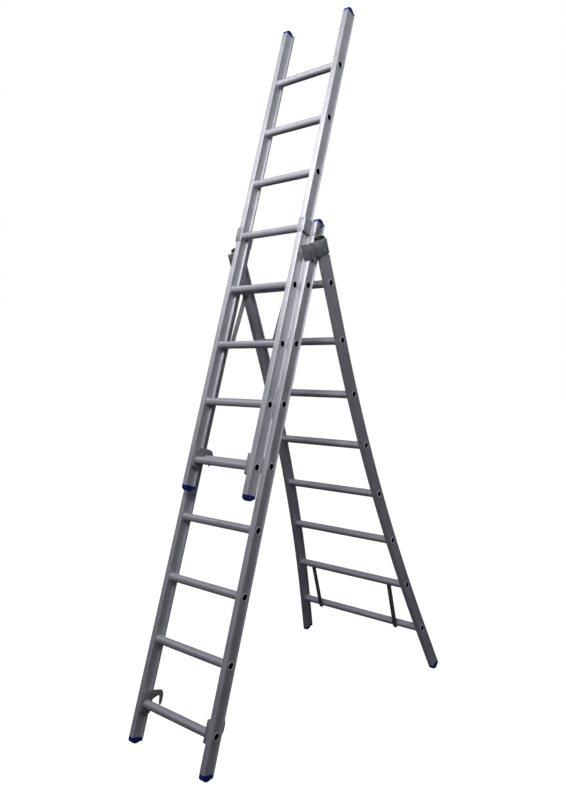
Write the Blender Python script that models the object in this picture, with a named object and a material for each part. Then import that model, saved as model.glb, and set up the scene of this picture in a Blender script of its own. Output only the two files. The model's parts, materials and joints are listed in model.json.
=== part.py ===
"""Three-section combination ladder, standing as an A-frame with its upper section run out.

Metres, +Z up. X runs along the rungs, -Y is the climbing side, +Y is the rear, and the
origin is on the floor under the middle of the whole ladder. The middle section stands on
the floor and leans back. The upper section hooks on it from the front, and the rear
section, whose stiles spread towards the floor, hangs from the hinge near its top.

Each section is modelled in its own frame: x across, y to the rear, z up along the stiles.
"""

import math

import bmesh
import bpy
from mathutils import Euler, Matrix, Vector

# ---------------------------------------------------------------- driving dimensions
GAP = 0.0003                     # between pieces that touch
CUT_PAST = 0.0040                # how far a cutter passes the face it opens

RUNG_PITCH = 0.280
RUNG_COUNT = 8
LEAN_FRONT = math.radians(17.0)  # middle and upper sections, off the vertical
LEAN_REAR = math.radians(21.75)  # rear section, the other way
PLANE_SPACING = 0.0517           # between the rung planes of two nested sections

WIDTH_UPPER = 0.4032             # over the outer faces of the stiles
WIDTH_MIDDLE = 0.4740
WIDTH_REAR = 0.5430              # at the top, before the stiles spread
SPREAD_START = 0.280             # below the first rung of the rear section
SPREAD_RATE = 0.0514             # half-width gained per square metre of length
SPREAD_END = RUNG_PITCH * (RUNG_COUNT - 1)

STILE_THICK = 0.0280
STILE_FRONT = 0.0264             # front face, ahead of the rung axis
STILE_REAR = 0.0250              # rear face, behind the rung axis
STILE_WALL = 0.0018
INNER_LIP = 0.0110               # how far the inner lip stands in from the inner face
INNER_LIP_START = 0.0158         # behind the rung axis
OUTER_FLANGE = 0.0060
OUTER_FLANGE_START = 0.0220

MIDDLE_BELOW = 0.1487            # from the lowest rung to the end of the stile
MIDDLE_ABOVE = 0.3000            # from the highest rung to the end of the stile
UPPER_BELOW = 0.1222
UPPER_ABOVE = 0.2860
REAR_BELOW = 0.2347
REAR_ABOVE_PIVOT = 0.0800
UPPER_DROP = 0.0165              # the upper rungs sit this much below the middle ones
UPPER_RAISED = 4                 # rungs that the upper section is run out by

PIVOT_ABOVE = 0.1230             # hinge axis above the middle section's first rung
MIDDLE_RUNG_8 = (-0.7362, 0.1681)  # world y and z of the middle section's lowest rung

ROUND_SIDES = 12                 # rungs and their holes
SPIGOT_RADIUS = 0.0150           # round end of a rung, where it passes the stile
BORE_RADIUS = 0.0138
BEAD_RADIUS = 0.0185             # flared rim on the stile's outer face
BEAD_THICK = 0.0012
RUNG_DEPTH = 0.0194              # half of the rung's depth, level when the ladder leans
RUNG_HEIGHT = 0.0166             # half of its height
RUNG_POWER = 2.5                 # of the rounded section
RUNG_AHEAD = 0.0040              # middle of the section ahead of the spigot's axis
RUNG_BELOW = 0.0008

CAP_SKIRT = 0.0140
CAP_DOME = 0.0100
LOWER_CAP_SKIRT = 0.0170
LOWER_CAP_DOME = 0.0090
PLUG_SKIRT = 0.0100
PLUG_DOME = 0.0060
FOOT_SKIRT = 0.0150
FOOT_DOME = 0.0110
CAP_INSET = 0.0011
CAP_PLUG = 0.0160                # plug's depth in the stile
SHORT_PLUG = 0.0075              # ends above the guide's bolt

COLLECTION = "combination_ladder"


# ---------------------------------------------------------------- scene and materials
def clear_scene():
    for obj in list(bpy.data.objects):
        bpy.data.objects.remove(obj, do_unlink=True)


def new_collection(name):
    collection = bpy.data.collections.new(name)
    bpy.context.scene.collection.children.link(collection)
    return collection


def material(name, colour, roughness, metallic):
    mat = bpy.data.materials.new(name)
    mat.use_nodes = True
    shader = mat.node_tree.nodes["Principled BSDF"]
    shader.inputs["Base Color"].default_value = (*colour, 1.0)
    shader.inputs["Roughness"].default_value = roughness
    shader.inputs["Metallic"].default_value = metallic
    mat.diffuse_color = (*colour, 1.0)
    return mat


clear_scene()
PARTS = new_collection(COLLECTION)
CUTTERS = new_collection("cutters")

ALUMINIUM = material("aluminium", (0.56, 0.56, 0.58), 0.38, 1.0)
BLUE_PLASTIC = material("blue_plastic", (0.006, 0.012, 0.160), 0.42, 0.0)
BLACK_PLASTIC = material("black_plastic", (0.012, 0.012, 0.013), 0.50, 0.0)
DARK_STEEL = material("dark_steel", (0.085, 0.092, 0.100), 0.45, 1.0)
ZINC_STEEL = material("zinc_steel", (0.45, 0.46, 0.48), 0.42, 1.0)


# ---------------------------------------------------------------- section frames
def frame(name, location, lean):
    empty = bpy.data.objects.new(name, None)
    PARTS.objects.link(empty)
    empty.location = location
    empty.rotation_euler = Euler((lean, 0.0, 0.0))
    return empty


def along(origin, lean, y, z):
    """World point of (y, z) in a section frame that leans by the given angle."""
    turn = Matrix.Rotation(lean, 4, "X")
    return Vector(origin) + turn @ Vector((0.0, y, z))


LOWEST_MIDDLE = (0.0, *MIDDLE_RUNG_8)
RUNG_RUN = RUNG_PITCH * (RUNG_COUNT - 1)
LOWEST_UPPER = along(LOWEST_MIDDLE, -LEAN_FRONT, -PLANE_SPACING,
                     UPPER_RAISED * RUNG_PITCH - UPPER_DROP)
PIVOT = along(LOWEST_MIDDLE, -LEAN_FRONT, 0.0, RUNG_RUN + PIVOT_ABOVE)

MIDDLE = frame("middle_frame", LOWEST_MIDDLE, -LEAN_FRONT)
UPPER = frame("upper_frame", LOWEST_UPPER, -LEAN_FRONT)
REAR = frame("rear_frame", PIVOT, LEAN_REAR)   # on the hinge's axis


def rear_rung_z(number):
    """Height of a rear rung in the rear frame, whose zero is the hinge axis."""
    return -PIVOT_ABOVE - (number - 1) * RUNG_PITCH


def rear_half_width(z):
    """Half of the width over the rear stiles at a height in the rear frame."""
    below = -PIVOT_ABOVE - z
    curved = min(max(below - SPREAD_START, 0.0), SPREAD_END - SPREAD_START)
    straight = max(below - SPREAD_END, 0.0)
    return WIDTH_REAR / 2 + SPREAD_RATE * curved ** 2 + 2 * SPREAD_RATE * curved * straight


def rear_slope(z):
    step = 0.001
    return (rear_half_width(z + step) - rear_half_width(z - step)) / (2 * step)


# ---------------------------------------------------------------- mesh tools
def add_object(name, mesh, mat, parent, collection=None):
    obj = bpy.data.objects.new(name, mesh)
    (collection or PARTS).objects.link(obj)
    mesh.materials.clear()
    mesh.materials.append(mat)
    obj.parent = parent
    return obj


def mesh_from(bm, name):
    bmesh.ops.recalc_face_normals(bm, faces=bm.faces)
    mesh = bpy.data.meshes.new(name)
    bm.to_mesh(mesh)
    bm.free()
    return mesh


def smooth(obj, degrees=35.0):
    obj.data.shade_smooth()
    obj.data.set_sharp_from_angle(angle=math.radians(degrees))


def plate_mesh(name, outlines, low, high):
    """Flat outline, its first loop the edge and the others holes, between two heights."""
    curve = bpy.data.curves.new(name, "CURVE")
    curve.dimensions = "2D"
    curve.fill_mode = "BOTH"
    curve.extrude = (high - low) / 2
    for outline in outlines:
        spline = curve.splines.new("POLY")
        spline.points.add(len(outline) - 1)
        for point, (u, v) in zip(spline.points, outline):
            point.co = (u, v, 0.0, 1.0)
        spline.use_cyclic_u = True
    holder = bpy.data.objects.new(name, curve)
    bpy.context.scene.collection.objects.link(holder)
    bpy.context.view_layer.update()
    depsgraph = bpy.context.evaluated_depsgraph_get()
    mesh = bpy.data.meshes.new_from_object(holder.evaluated_get(depsgraph))
    bpy.data.objects.remove(holder)
    bpy.data.curves.remove(curve)
    bm = bmesh.new()
    bm.from_mesh(mesh)
    bpy.data.meshes.remove(mesh)
    bmesh.ops.remove_doubles(bm, verts=bm.verts, dist=1e-6)
    bmesh.ops.dissolve_limit(bm, angle_limit=1e-4, verts=bm.verts, edges=bm.edges)
    bmesh.ops.translate(bm, verts=bm.verts, vec=(0.0, 0.0, (high + low) / 2))
    return mesh_from(bm, name)


def turned(mesh, matrix):
    mesh.transform(matrix)
    return mesh


# Outlines drawn as (y, z) become plates that face along X.
FACING_X = Matrix(((0, 0, 1, 0), (1, 0, 0, 0), (0, 1, 0, 0), (0, 0, 0, 1)))


def cutter(name, mesh, parent):
    obj = add_object(name, mesh, ALUMINIUM, parent, CUTTERS)
    obj.hide_render = True
    obj.display_type = "WIRE"
    return obj


def boolean(obj, other, operation="DIFFERENCE"):
    modifier = obj.modifiers.new(other.name, "BOOLEAN")
    modifier.operation = operation
    modifier.solver = "EXACT"
    modifier.object = other


def round_bar_mesh(name, radius, start, end, sides):
    """Cylinder along X from one x to the other."""
    bm = bmesh.new()
    bmesh.ops.create_cone(bm, cap_ends=True, segments=sides, radius1=radius,
                          radius2=radius, depth=end - start)
    turn = Matrix.Translation(((start + end) / 2, 0.0, 0.0)) @ Matrix.Rotation(
        math.pi / 2, 4, "Y")
    bmesh.ops.transform(bm, matrix=turn, verts=bm.verts)
    return mesh_from(bm, name)


def box_mesh(name, low, high):
    bm = bmesh.new()
    bmesh.ops.create_cube(bm, size=1.0)
    size = [b - a for a, b in zip(low, high)]
    middle = [(a + b) / 2 for a, b in zip(low, high)]
    bmesh.ops.scale(bm, vec=size, verts=bm.verts)
    bmesh.ops.translate(bm, vec=middle, verts=bm.verts)
    return mesh_from(bm, name)


def joined(name, meshes):
    """One mesh that holds several separate solids, for one cutter."""
    bm = bmesh.new()
    for mesh in meshes:
        bm.from_mesh(mesh)
        bpy.data.meshes.remove(mesh)
    mesh = bpy.data.meshes.new(name)
    bm.to_mesh(mesh)
    bm.free()
    return mesh


def strip_outline(path, thick):
    """Outline of a bent sheet: a path in plan with mitred corners, thick wide."""
    points = [Vector(p) for p in path]
    left = []
    right = []
    for i, point in enumerate(points):
        before = (point - points[i - 1]).normalized() if i > 0 else None
        after = (points[i + 1] - point).normalized() if i < len(points) - 1 else None
        first = before or after
        second = after or before
        normal = Vector((-first.y - second.y, first.x + second.x)).normalized()
        reach = thick / 2 / normal.dot(Vector((-first.y, first.x)))
        left.append(point + normal * reach)
        right.append(point - normal * reach)
    return [tuple(p) for p in left + right[::-1]]


def arc(centre, radius, start, end, steps):
    """Points on an arc, by angles in degrees."""
    points = []
    for i in range(steps + 1):
        angle = math.radians(start + (end - start) * i / steps)
        points.append((centre[0] + radius * math.cos(angle),
                       centre[1] + radius * math.sin(angle)))
    return points


def mirrored(outline, side):
    """Outline across the stile for one side of the ladder; side is 1 or -1."""
    return [(side * u, v) for u, v in outline]


# ---------------------------------------------------------------- stiles
def stile_outline(outer, side, lip=True, flange=True):
    """Section of a stile in plan, from its outer face at x = outer."""
    inner = outer - STILE_THICK
    points = [(outer, -STILE_FRONT), (inner, -STILE_FRONT)]
    if lip:
        points += [(inner, INNER_LIP_START), (inner - INNER_LIP, INNER_LIP_START),
                   (inner - INNER_LIP, STILE_REAR)]
    else:
        points += [(inner, STILE_REAR)]
    if flange:
        points += [(outer + OUTER_FLANGE, STILE_REAR),
                   (outer + OUTER_FLANGE, OUTER_FLANGE_START),
                   (outer, OUTER_FLANGE_START)]
    else:
        points += [(outer, STILE_REAR)]
    return mirrored(points, side)


def cavity_outline(outer, side, clearance=0.0):
    """Hollow of a stile, or with a clearance the plug that fits in it."""
    edge = STILE_WALL + clearance
    left = outer - STILE_THICK + edge
    right = outer - edge
    front = -STILE_FRONT + edge
    back = STILE_REAR - edge
    return mirrored([(right, front), (left, front), (left, back), (right, back)], side)


def rung_holes(name, parent, outer, side, heights, reach):
    """Round holes through both walls of a stile, one for each rung.

    outer gives half of the ladder's width at a height. Each cutter passes the faces by reach.
    """
    bars = []
    for index, z in enumerate(heights):
        ends = sorted((side * (outer(z) - STILE_THICK - reach), side * (outer(z) + reach)))
        bar = round_bar_mesh(f"{name}_{index}", SPIGOT_RADIUS + GAP, *ends, ROUND_SIDES)
        bar.transform(Matrix.Translation((0.0, 0.0, z)))
        bars.append(bar)
    return cutter(name, joined(name, bars), parent)


def straight_stile(name, parent, width, side, below, above):
    """Stile of the upper or the middle section; z = 0 is its lowest rung."""
    outer = width / 2
    mesh = plate_mesh(name, [stile_outline(outer, side), cavity_outline(outer, side)],
                      -below, RUNG_RUN + above)
    obj = add_object(name, mesh, ALUMINIUM, parent)
    heights = [i * RUNG_PITCH for i in range(RUNG_COUNT)]
    holes = rung_holes(name + "_holes", parent, lambda z: outer, side, heights, CUT_PAST)
    boolean(obj, holes)
    return obj


def spread(mesh, side):
    """Moves a rear piece's points outwards along the curve of the stiles."""
    for vertex in mesh.vertices:
        vertex.co.x += side * (rear_half_width(vertex.co.z) - WIDTH_REAR / 2)
    return mesh


LIP_STOP = 0.0360        # above the hinge axis, where the inner lip ends
FLANGE_STOP = 0.0040     # and the outer flange, so that the folded stiles can cross
RELIEF_TOP = 0.2000
RELIEF_DEPTH = 0.0200
SPREAD_REACH = 0.0100    # for cutters through a stile that runs at a slant


def rear_stile(name, side):
    """Stile of the rear section, straight at the top and curving out lower down."""
    outer = WIDTH_REAR / 2
    bottom = rear_rung_z(RUNG_COUNT) - REAR_BELOW
    mesh = plate_mesh(name, [stile_outline(outer, side), cavity_outline(outer, side)],
                      bottom, REAR_ABOVE_PIVOT)
    bm = bmesh.new()
    bm.from_mesh(mesh)
    station = -PIVOT_ABOVE - SPREAD_START
    while station > rear_rung_z(RUNG_COUNT) - RUNG_PITCH / 4:
        geometry = list(bm.verts) + list(bm.edges) + list(bm.faces)
        bmesh.ops.bisect_plane(bm, geom=geometry, plane_co=(0, 0, station),
                               plane_no=(0, 0, 1), dist=1e-6)
        station -= RUNG_PITCH / 2
    bm.to_mesh(mesh)
    bm.free()
    obj = add_object(name, spread(mesh, side), ALUMINIUM, REAR)
    heights = [rear_rung_z(i) for i in range(1, RUNG_COUNT + 1)]
    holes = rung_holes(name + "_holes", REAR, rear_half_width, side, heights, SPREAD_REACH)
    boolean(obj, holes)
    back = 2 * STILE_THICK
    inner = outer - STILE_THICK - GAP / 2
    lip = sorted((side * inner, side * (inner - RELIEF_DEPTH)))
    flange = sorted((side * (outer + GAP / 2), side * (outer + RELIEF_DEPTH)))
    relief = joined(name + "_relief", [
        box_mesh("lip", (lip[0], -back, LIP_STOP), (lip[1], back, RELIEF_TOP)),
        box_mesh("flange", (flange[0], -back, FLANGE_STOP), (flange[1], back, RELIEF_TOP)),
    ])
    boolean(obj, cutter(name + "_relief", relief, REAR))
    return obj


def shift_to_rear_plane(obj):
    """The rear section's rungs lie behind the hinge axis by the plane spacing."""
    obj.location = (0.0, PLANE_SPACING, 0.0)
    return obj


# ---------------------------------------------------------------- rungs
def rung_section(count):
    """Points round the rung's own section, as (y, z) about the spigot's axis."""
    points = []
    for i in range(count):
        angle = 2 * math.pi * i / count
        c = math.cos(angle - LEAN_FRONT)
        s = math.sin(angle - LEAN_FRONT)
        radius = (abs(c / RUNG_DEPTH) ** RUNG_POWER
                  + abs(s / RUNG_HEIGHT) ** RUNG_POWER) ** (-1 / RUNG_POWER)
        points.append((radius * math.cos(angle) - RUNG_AHEAD,
                       radius * math.sin(angle) - RUNG_BELOW))
    return points


def circle_section(radius, count):
    points = []
    for i in range(count):
        angle = 2 * math.pi * i / count
        points.append((radius * math.cos(angle), radius * math.sin(angle)))
    return points


def rung_mesh(name, half_width, slope):
    """Tube with a shaped middle and round ends that are flared outside the stiles."""
    body = rung_section(ROUND_SIDES)
    spigot = circle_section(SPIGOT_RADIUS, ROUND_SIDES)
    bead = circle_section(BEAD_RADIUS, ROUND_SIDES)
    bore = circle_section(BORE_RADIUS, ROUND_SIDES)
    inner = half_width - STILE_THICK - GAP
    face = half_width + GAP
    end = face + BEAD_THICK
    stations = [(bore, end), (bead, end - BEAD_THICK / 3), (spigot, face), (spigot, inner),
                (body, inner)]
    loop = [(section, x, 1) for section, x in stations]
    loop += [(section, x, -1) for section, x in reversed(stations)]
    bm = bmesh.new()
    rings = []
    for section, x, side in loop:
        ring = [bm.verts.new((side * (x + slope * z), y, z)) for y, z in section]
        rings.append(ring)
    for a, b in zip(rings, rings[1:] + rings[:1]):
        for i in range(ROUND_SIDES):
            j = (i + 1) % ROUND_SIDES
            bm.faces.new((a[i], a[j], b[j], b[i]))
    return mesh_from(bm, name)


def add_rungs(prefix, parent, half_width, height, y=0.0, slope=lambda z: 0.0):
    for number in range(1, RUNG_COUNT + 1):
        z = height(number)
        name = f"{prefix}_rung_{number}"
        obj = add_object(name, rung_mesh(name, half_width(z), slope(z)), ALUMINIUM, parent)
        obj.location = (0.0, y, z)
        smooth(obj)


# ---------------------------------------------------------------- end caps
def cap_mesh(name, outline, plug, tip, skirt, dome, plug_depth):
    """Domed plastic end with a plug into the stile; tip is 1 upwards, -1 downwards.

    z = 0 is the end of the stile.
    """
    mesh = plate_mesh(name, [outline], *sorted((tip * GAP, tip * skirt)))
    bm = bmesh.new()
    bm.from_mesh(mesh)
    end = [f for f in bm.faces if f.normal.z * tip > 0.9]
    bmesh.ops.inset_region(bm, faces=end, thickness=CAP_INSET, use_even_offset=True)
    bmesh.ops.translate(bm, verts=list({v for f in end for v in f.verts}),
                        vec=(0.0, 0.0, tip * dome))
    bm.to_mesh(mesh)
    bm.free()
    tongue = plate_mesh(name + "_plug", [plug],
                        *sorted((-tip * plug_depth, tip * skirt / 2)))
    return mesh, tongue


def add_cap(name, parent, outline, plug, z, tip, mat, *, skirt=CAP_SKIRT, dome=CAP_DOME,
            plug_depth=CAP_PLUG, side=1, y=0.0, spreads=False, stands=False):
    """Cap at a height of its section; spreads bends it along with a rear stile, and
    stands cuts it off at the floor."""
    shell, tongue = cap_mesh(name, outline, plug, tip, skirt, dome, plug_depth)
    for mesh in (shell, tongue):
        mesh.transform(Matrix.Translation((0.0, 0.0, z)))
        if spreads:
            spread(mesh, side)
    obj = add_object(name, shell, mat, parent)
    obj.location = (0.0, y, 0.0)
    if stands:
        boolean(obj, FLOOR)
    plug_obj = cutter(name + "_plug", tongue, parent)
    plug_obj.location = (0.0, y, 0.0)
    boolean(obj, plug_obj, "UNION")
    return obj


FLOOR = cutter("floor", box_mesh("floor", (-1.0, -2.0, -0.2), (1.0, 2.0, 0.0)), None)


# ---------------------------------------------------------------- hooks
HOOK_PLATE = 0.0040
HOOK_FRONT = -STILE_FRONT + 0.0002
BOSS_REAR = INNER_LIP_START - GAP      # the boss fills the web ahead of the lip
BOSS_ABOVE = 0.0100                    # the boss starts above the foot of the plate
BOSS_BELOW = 0.0010                    # and ends below its top
RUNG_CLEAR = 1.03                      # size of the hook's hole, over the rung in it

MIDDLE_HOOK = [(HOOK_FRONT, -0.034), (0.012, -0.045), (0.0275, -0.042), (0.0275, 0.018),
               (0.060, 0.034), (0.0665, 0.029), (0.0705, 0.006), (0.0735, -0.009),
               (0.0800, -0.012), (0.0865, -0.007), (0.0885, 0.020), (0.0855, 0.042),
               (0.0750, 0.056), (0.060, 0.0585), (HOOK_FRONT, 0.0575)]


def upper_hook_outline():
    """Hook whose mouth sits on a rung of the middle section."""
    section = rung_section(ROUND_SIDES)
    front = PLANE_SPACING + min(y for y, z in section) - GAP
    back = PLANE_SPACING + max(y for y, z in section) + GAP
    top = UPPER_DROP + max(z for y, z in section) + GAP
    return [(HOOK_FRONT, -0.036), (0.010, -0.042), (front, -0.034), (front, top),
            (back, top), (back + 0.001, 0.000), (0.0725, -0.014), (0.0795, -0.016),
            (0.0860, -0.008), (0.0885, 0.030), (0.0860, 0.048), (0.0760, 0.058),
            (0.0600, 0.0615), (0.035, 0.0615), (HOOK_FRONT, 0.0560)]


def add_hook(name, parent, width, side, outline):
    """Cast hook riveted to the inner face of a stile, round its lowest rung."""
    inner = width / 2 - STILE_THICK - GAP
    boss_end = inner - INNER_LIP
    plate_end = boss_end - HOOK_PLATE
    blade = plate_mesh(name, [outline], *sorted((side * boss_end, side * plate_end)))
    obj = add_object(name, turned(blade, FACING_X), DARK_STEEL, parent)
    low = min(v for u, v in outline if u < BOSS_REAR) + BOSS_ABOVE
    high = min(outline[-1][1], outline[-2][1]) - BOSS_BELOW
    ends = sorted((side * inner, side * (boss_end - HOOK_PLATE / 2)))
    boss = box_mesh(name + "_boss", (ends[0], HOOK_FRONT, low), (ends[1], BOSS_REAR, high))
    boolean(obj, cutter(name + "_boss", boss, parent), "UNION")
    clear = [(y * RUNG_CLEAR, z * RUNG_CLEAR) for y, z in rung_section(ROUND_SIDES)]
    ends = sorted((side * (inner + CUT_PAST), side * (plate_end - CUT_PAST)))
    hole = turned(plate_mesh(name + "_hole", [clear], *ends), FACING_X)
    boolean(obj, cutter(name + "_hole", hole, parent))
    return obj


# ---------------------------------------------------------------- guides and hinges
SHEET = 0.0020
GUIDE_LOW = 0.2320       # above the middle section's first rung
GUIDE_HIGH = 0.3010
GUIDE_REAR = 0.0210
GUIDE_TURN = 0.0030      # of its edge, back round the inner corner of the upper stile
GUIDE_PLAY = 0.0006      # between its cheek and the flange of the upper stile
GUIDE_BOLT = 0.2880
GUIDE_HOLE = 0.0038      # radius
GUIDE_HEAD = 0.0065

BRACKET = 0.0030
BRACKET_LOW = 0.0080     # above the hinge axis
BRACKET_HIGH = 0.0780
BRACKET_REAR = 0.0830    # behind the hinge axis
BRACKET_FRONT = -0.0318
BRACKET_PLAY = 0.0007    # between its cheek and the flange of the middle stile
CRANK_START = 0.0010     # ahead of the rear stile's front face
CRANK_END = 0.0150
EAR_RADIUS = 0.0105
EAR_REAR = 0.0095        # the ear's rear edge ends ahead of the crank
EAR_STEP = 0.0110
EAR_TOP = 0.0300
BOLT_RADIUS = 0.0045
BOLT_HEAD = 0.0080
SPACER = 0.0095          # shoulder between the middle stile and the ear
BOLT_SIDES = 16


def add_guide(name, side):
    """Bent sheet on the middle stile that wraps round the front of the upper stile."""
    middle = WIDTH_MIDDLE / 2
    upper = WIDTH_UPPER / 2
    clear = GAP + SHEET / 2
    wing = middle + clear
    cheek = upper + OUTER_FLANGE + GUIDE_PLAY + clear
    face = -PLANE_SPACING - STILE_FRONT - clear
    path = [(wing, GUIDE_REAR), (wing, -STILE_FRONT - clear), (cheek, -STILE_FRONT - clear),
            (cheek, face), (upper - STILE_THICK - clear, face),
            (upper - STILE_THICK - clear, face + GUIDE_TURN)]
    low = RUNG_RUN + GUIDE_LOW
    high = RUNG_RUN + GUIDE_HIGH
    mesh = plate_mesh(name, [mirrored(strip_outline(path, SHEET), side)], low, high)
    obj = add_object(name, mesh, ZINC_STEEL, MIDDLE)
    rise = math.tan(LEAN_FRONT + LEAN_REAR)     # clears the top of the rear stile
    start = -STILE_FRONT
    back = GUIDE_REAR + CUT_PAST
    wedge = [(start, low - GAP), (back, low - GAP), (back, low + (back - start) * rise)]
    ends = sorted((side * (middle + GAP / 2), side * (wing + SHEET)))
    slope = turned(plate_mesh(name + "_slope", [wedge], *ends), FACING_X)
    boolean(obj, cutter(name + "_slope", slope, MIDDLE))
    ends = sorted((side * (middle - STILE_THICK - CUT_PAST), side * (wing + CUT_PAST)))
    hole = round_bar_mesh(name + "_hole", GUIDE_HOLE, *ends, 12)
    hole.transform(Matrix.Translation((0.0, 0.0, RUNG_RUN + GUIDE_BOLT)))
    hole_obj = cutter(name + "_hole", hole, MIDDLE)
    boolean(obj, hole_obj)
    return obj, hole_obj


def add_bracket(name, side):
    """Hinge plate riveted to the rear stile, cranked in to the middle stile."""
    outer = WIDTH_REAR / 2 + GAP + BRACKET / 2
    cheek = WIDTH_MIDDLE / 2 + OUTER_FLANGE + BRACKET_PLAY + BRACKET / 2
    tip = WIDTH_UPPER / 2 + OUTER_FLANGE + 2 * BRACKET_PLAY
    front_of_stile = PLANE_SPACING - STILE_FRONT
    path = [(outer, BRACKET_REAR), (outer, front_of_stile - CRANK_START),
            (cheek, front_of_stile - CRANK_END), (cheek, BRACKET_FRONT), (tip, BRACKET_FRONT)]
    mesh = plate_mesh(name, [mirrored(strip_outline(path, BRACKET), side)],
                      BRACKET_LOW, BRACKET_HIGH)
    obj = add_object(name, mesh, DARK_STEEL, REAR)
    ear = arc((0.0, 0.0), EAR_RADIUS, 180, 360, 8)
    ear += [(EAR_REAR, EAR_STEP), (EAR_REAR, EAR_TOP), (-EAR_RADIUS, EAR_TOP)]
    ends = sorted((side * (cheek - BRACKET / 2), side * (cheek + BRACKET / 2)))
    ear_mesh = turned(plate_mesh(name + "_ear", [ear], *ends), FACING_X)
    boolean(obj, cutter(name + "_ear", ear_mesh, REAR), "UNION")
    ends = sorted((side * (cheek - CUT_PAST), side * (cheek + CUT_PAST)))
    hole = round_bar_mesh(name + "_hole", BOLT_RADIUS + GAP, *ends, BOLT_SIDES)
    boolean(obj, cutter(name + "_hole", hole, REAR))
    return obj


def bolt_mesh(name, profile, side):
    """Turned piece along X from a list of (radius, x), closed at both ends."""
    bm = bmesh.new()
    rings = []
    for radius, x in profile:
        ring = [bm.verts.new((side * x, y, z)) for y, z in circle_section(radius, BOLT_SIDES)]
        rings.append(ring)
    for a, b in zip(rings, rings[1:]):
        for i in range(BOLT_SIDES):
            j = (i + 1) % BOLT_SIDES
            bm.faces.new((a[i], a[j], b[j], b[i]))
    bm.faces.new(rings[0])
    bm.faces.new(rings[-1])
    return mesh_from(bm, name)


def add_hinge_bolt(name, side):
    """Shouldered bolt and nut through the middle stile and the bracket's ear."""
    outer = WIDTH_MIDDLE / 2
    inner = outer - STILE_THICK
    plate_in = outer + OUTER_FLANGE + BRACKET_PLAY
    plate_out = plate_in + BRACKET
    profile = [(BOLT_HEAD, inner - 0.0060), (BOLT_HEAD, inner - GAP),
               (BOLT_RADIUS, inner - GAP), (BOLT_RADIUS, outer + GAP), (SPACER, outer + GAP),
               (SPACER, plate_in - GAP), (BOLT_RADIUS, plate_in - GAP),
               (BOLT_RADIUS, plate_out + GAP), (BOLT_HEAD, plate_out + GAP),
               (0.90 * BOLT_HEAD, plate_out + 0.0018), (0.50 * BOLT_HEAD, plate_out + 0.0024)]
    obj = add_object(name, bolt_mesh(name, profile, side), DARK_STEEL, MIDDLE)
    obj.location = (0.0, 0.0, RUNG_RUN + PIVOT_ABOVE)
    smooth(obj)
    return obj


def add_guide_bolt(name, side):
    """Bolt that holds the guide to the middle stile, with its nut on the inner face."""
    outer = WIDTH_MIDDLE / 2 + GAP + SHEET
    inner = WIDTH_MIDDLE / 2 - STILE_THICK
    shank = GUIDE_HOLE - GAP
    profile = [(GUIDE_HEAD, inner - 0.0045), (GUIDE_HEAD, inner - GAP), (shank, inner - GAP),
               (shank, outer + GAP), (GUIDE_HEAD, outer + GAP),
               (0.92 * GUIDE_HEAD, outer + 0.0030), (0.46 * GUIDE_HEAD, outer + 0.0036)]
    obj = add_object(name, bolt_mesh(name, profile, side), ZINC_STEEL, MIDDLE)
    obj.location = (0.0, 0.0, RUNG_RUN + GUIDE_BOLT)
    smooth(obj)
    return obj


# ---------------------------------------------------------------- stay bars
STAY_THICK = 0.0040
STAY_WIDTH = 0.0270
MIDDLE_STAY_X = 0.1295
REAR_STAY_X = 0.2580
STAY_KNEE = 0.0220       # above the lower rung's axis, where the bar bends
STAY_END = 0.0175        # below it
KNOB_RADIUS = 0.0120
KNOB_HEIGHT = 0.0070     # of its axis, below the lower rung's
KNOB_DEEP = 0.0045


def add_stay(name, parent, x, lower_rung, y=0.0):
    """Flat bar from the underside of one rung to the front of the rung below, with a knob."""
    section = rung_section(ROUND_SIDES)
    front = min(u for u, v in section) - GAP
    under = min(section, key=lambda p: p[1])
    top = RUNG_PITCH + under[1] - GAP
    middle = front - STAY_THICK / 2
    path = [(under[0], top), (middle, STAY_KNEE), (middle, -STAY_END)]
    outline = strip_outline(path, STAY_THICK)
    outline[0] = (outline[0][0], top)
    outline[-1] = (outline[-1][0], top)
    blade = plate_mesh(name, [outline], x - STAY_WIDTH / 2, x + STAY_WIDTH / 2)
    obj = add_object(name, turned(blade, FACING_X), DARK_STEEL, parent)
    obj.location = (0.0, y, lower_rung)
    knob = plate_mesh(name + "_knob", [circle_section(KNOB_RADIUS, ROUND_SIDES)],
                      -middle, -(front - STAY_THICK - KNOB_DEEP))
    lay = Matrix.Translation((x, 0.0, -KNOB_HEIGHT)) @ Matrix.Rotation(math.pi / 2, 4, "X")
    knob_obj = cutter(name + "_knob", turned(knob, lay), parent)
    knob_obj.location = obj.location
    boolean(obj, knob_obj, "UNION")
    return obj


# ---------------------------------------------------------------- buffers
BUFFER_WIDTH = 0.0380
BUFFER_THICK = 0.0032
BUFFER_LOW = 0.2340
BUFFER_HIGH = 0.2920
BUFFER_EDGE = 0.0005
BUFFER_CORNER = 0.0040


def add_buffer(name, side):
    """Plastic strip on the rear of a middle stile, near its top, with rounded corners."""
    outer = WIDTH_MIDDLE / 2 - BUFFER_EDGE
    inner = outer - BUFFER_WIDTH
    right = outer - BUFFER_CORNER
    left = inner + BUFFER_CORNER
    low = RUNG_RUN + BUFFER_LOW + BUFFER_CORNER
    high = RUNG_RUN + BUFFER_HIGH - BUFFER_CORNER
    corners = [((right, low), 270), ((right, high), 0), ((left, high), 90), ((left, low), 180)]
    outline = []
    for centre, start in corners:
        outline += arc(centre, BUFFER_CORNER, start, start + 90, 3)
    outline = mirrored(outline, side)
    face = STILE_REAR + GAP
    strip = plate_mesh(name, [outline], -face - BUFFER_THICK, -face)
    return add_object(name, turned(strip, Matrix.Rotation(math.pi / 2, 4, "X")),
                      BLACK_PLASTIC, MIDDLE)


# ---------------------------------------------------------------- sections
SIDES = (("left", -1), ("right", 1))


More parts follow.
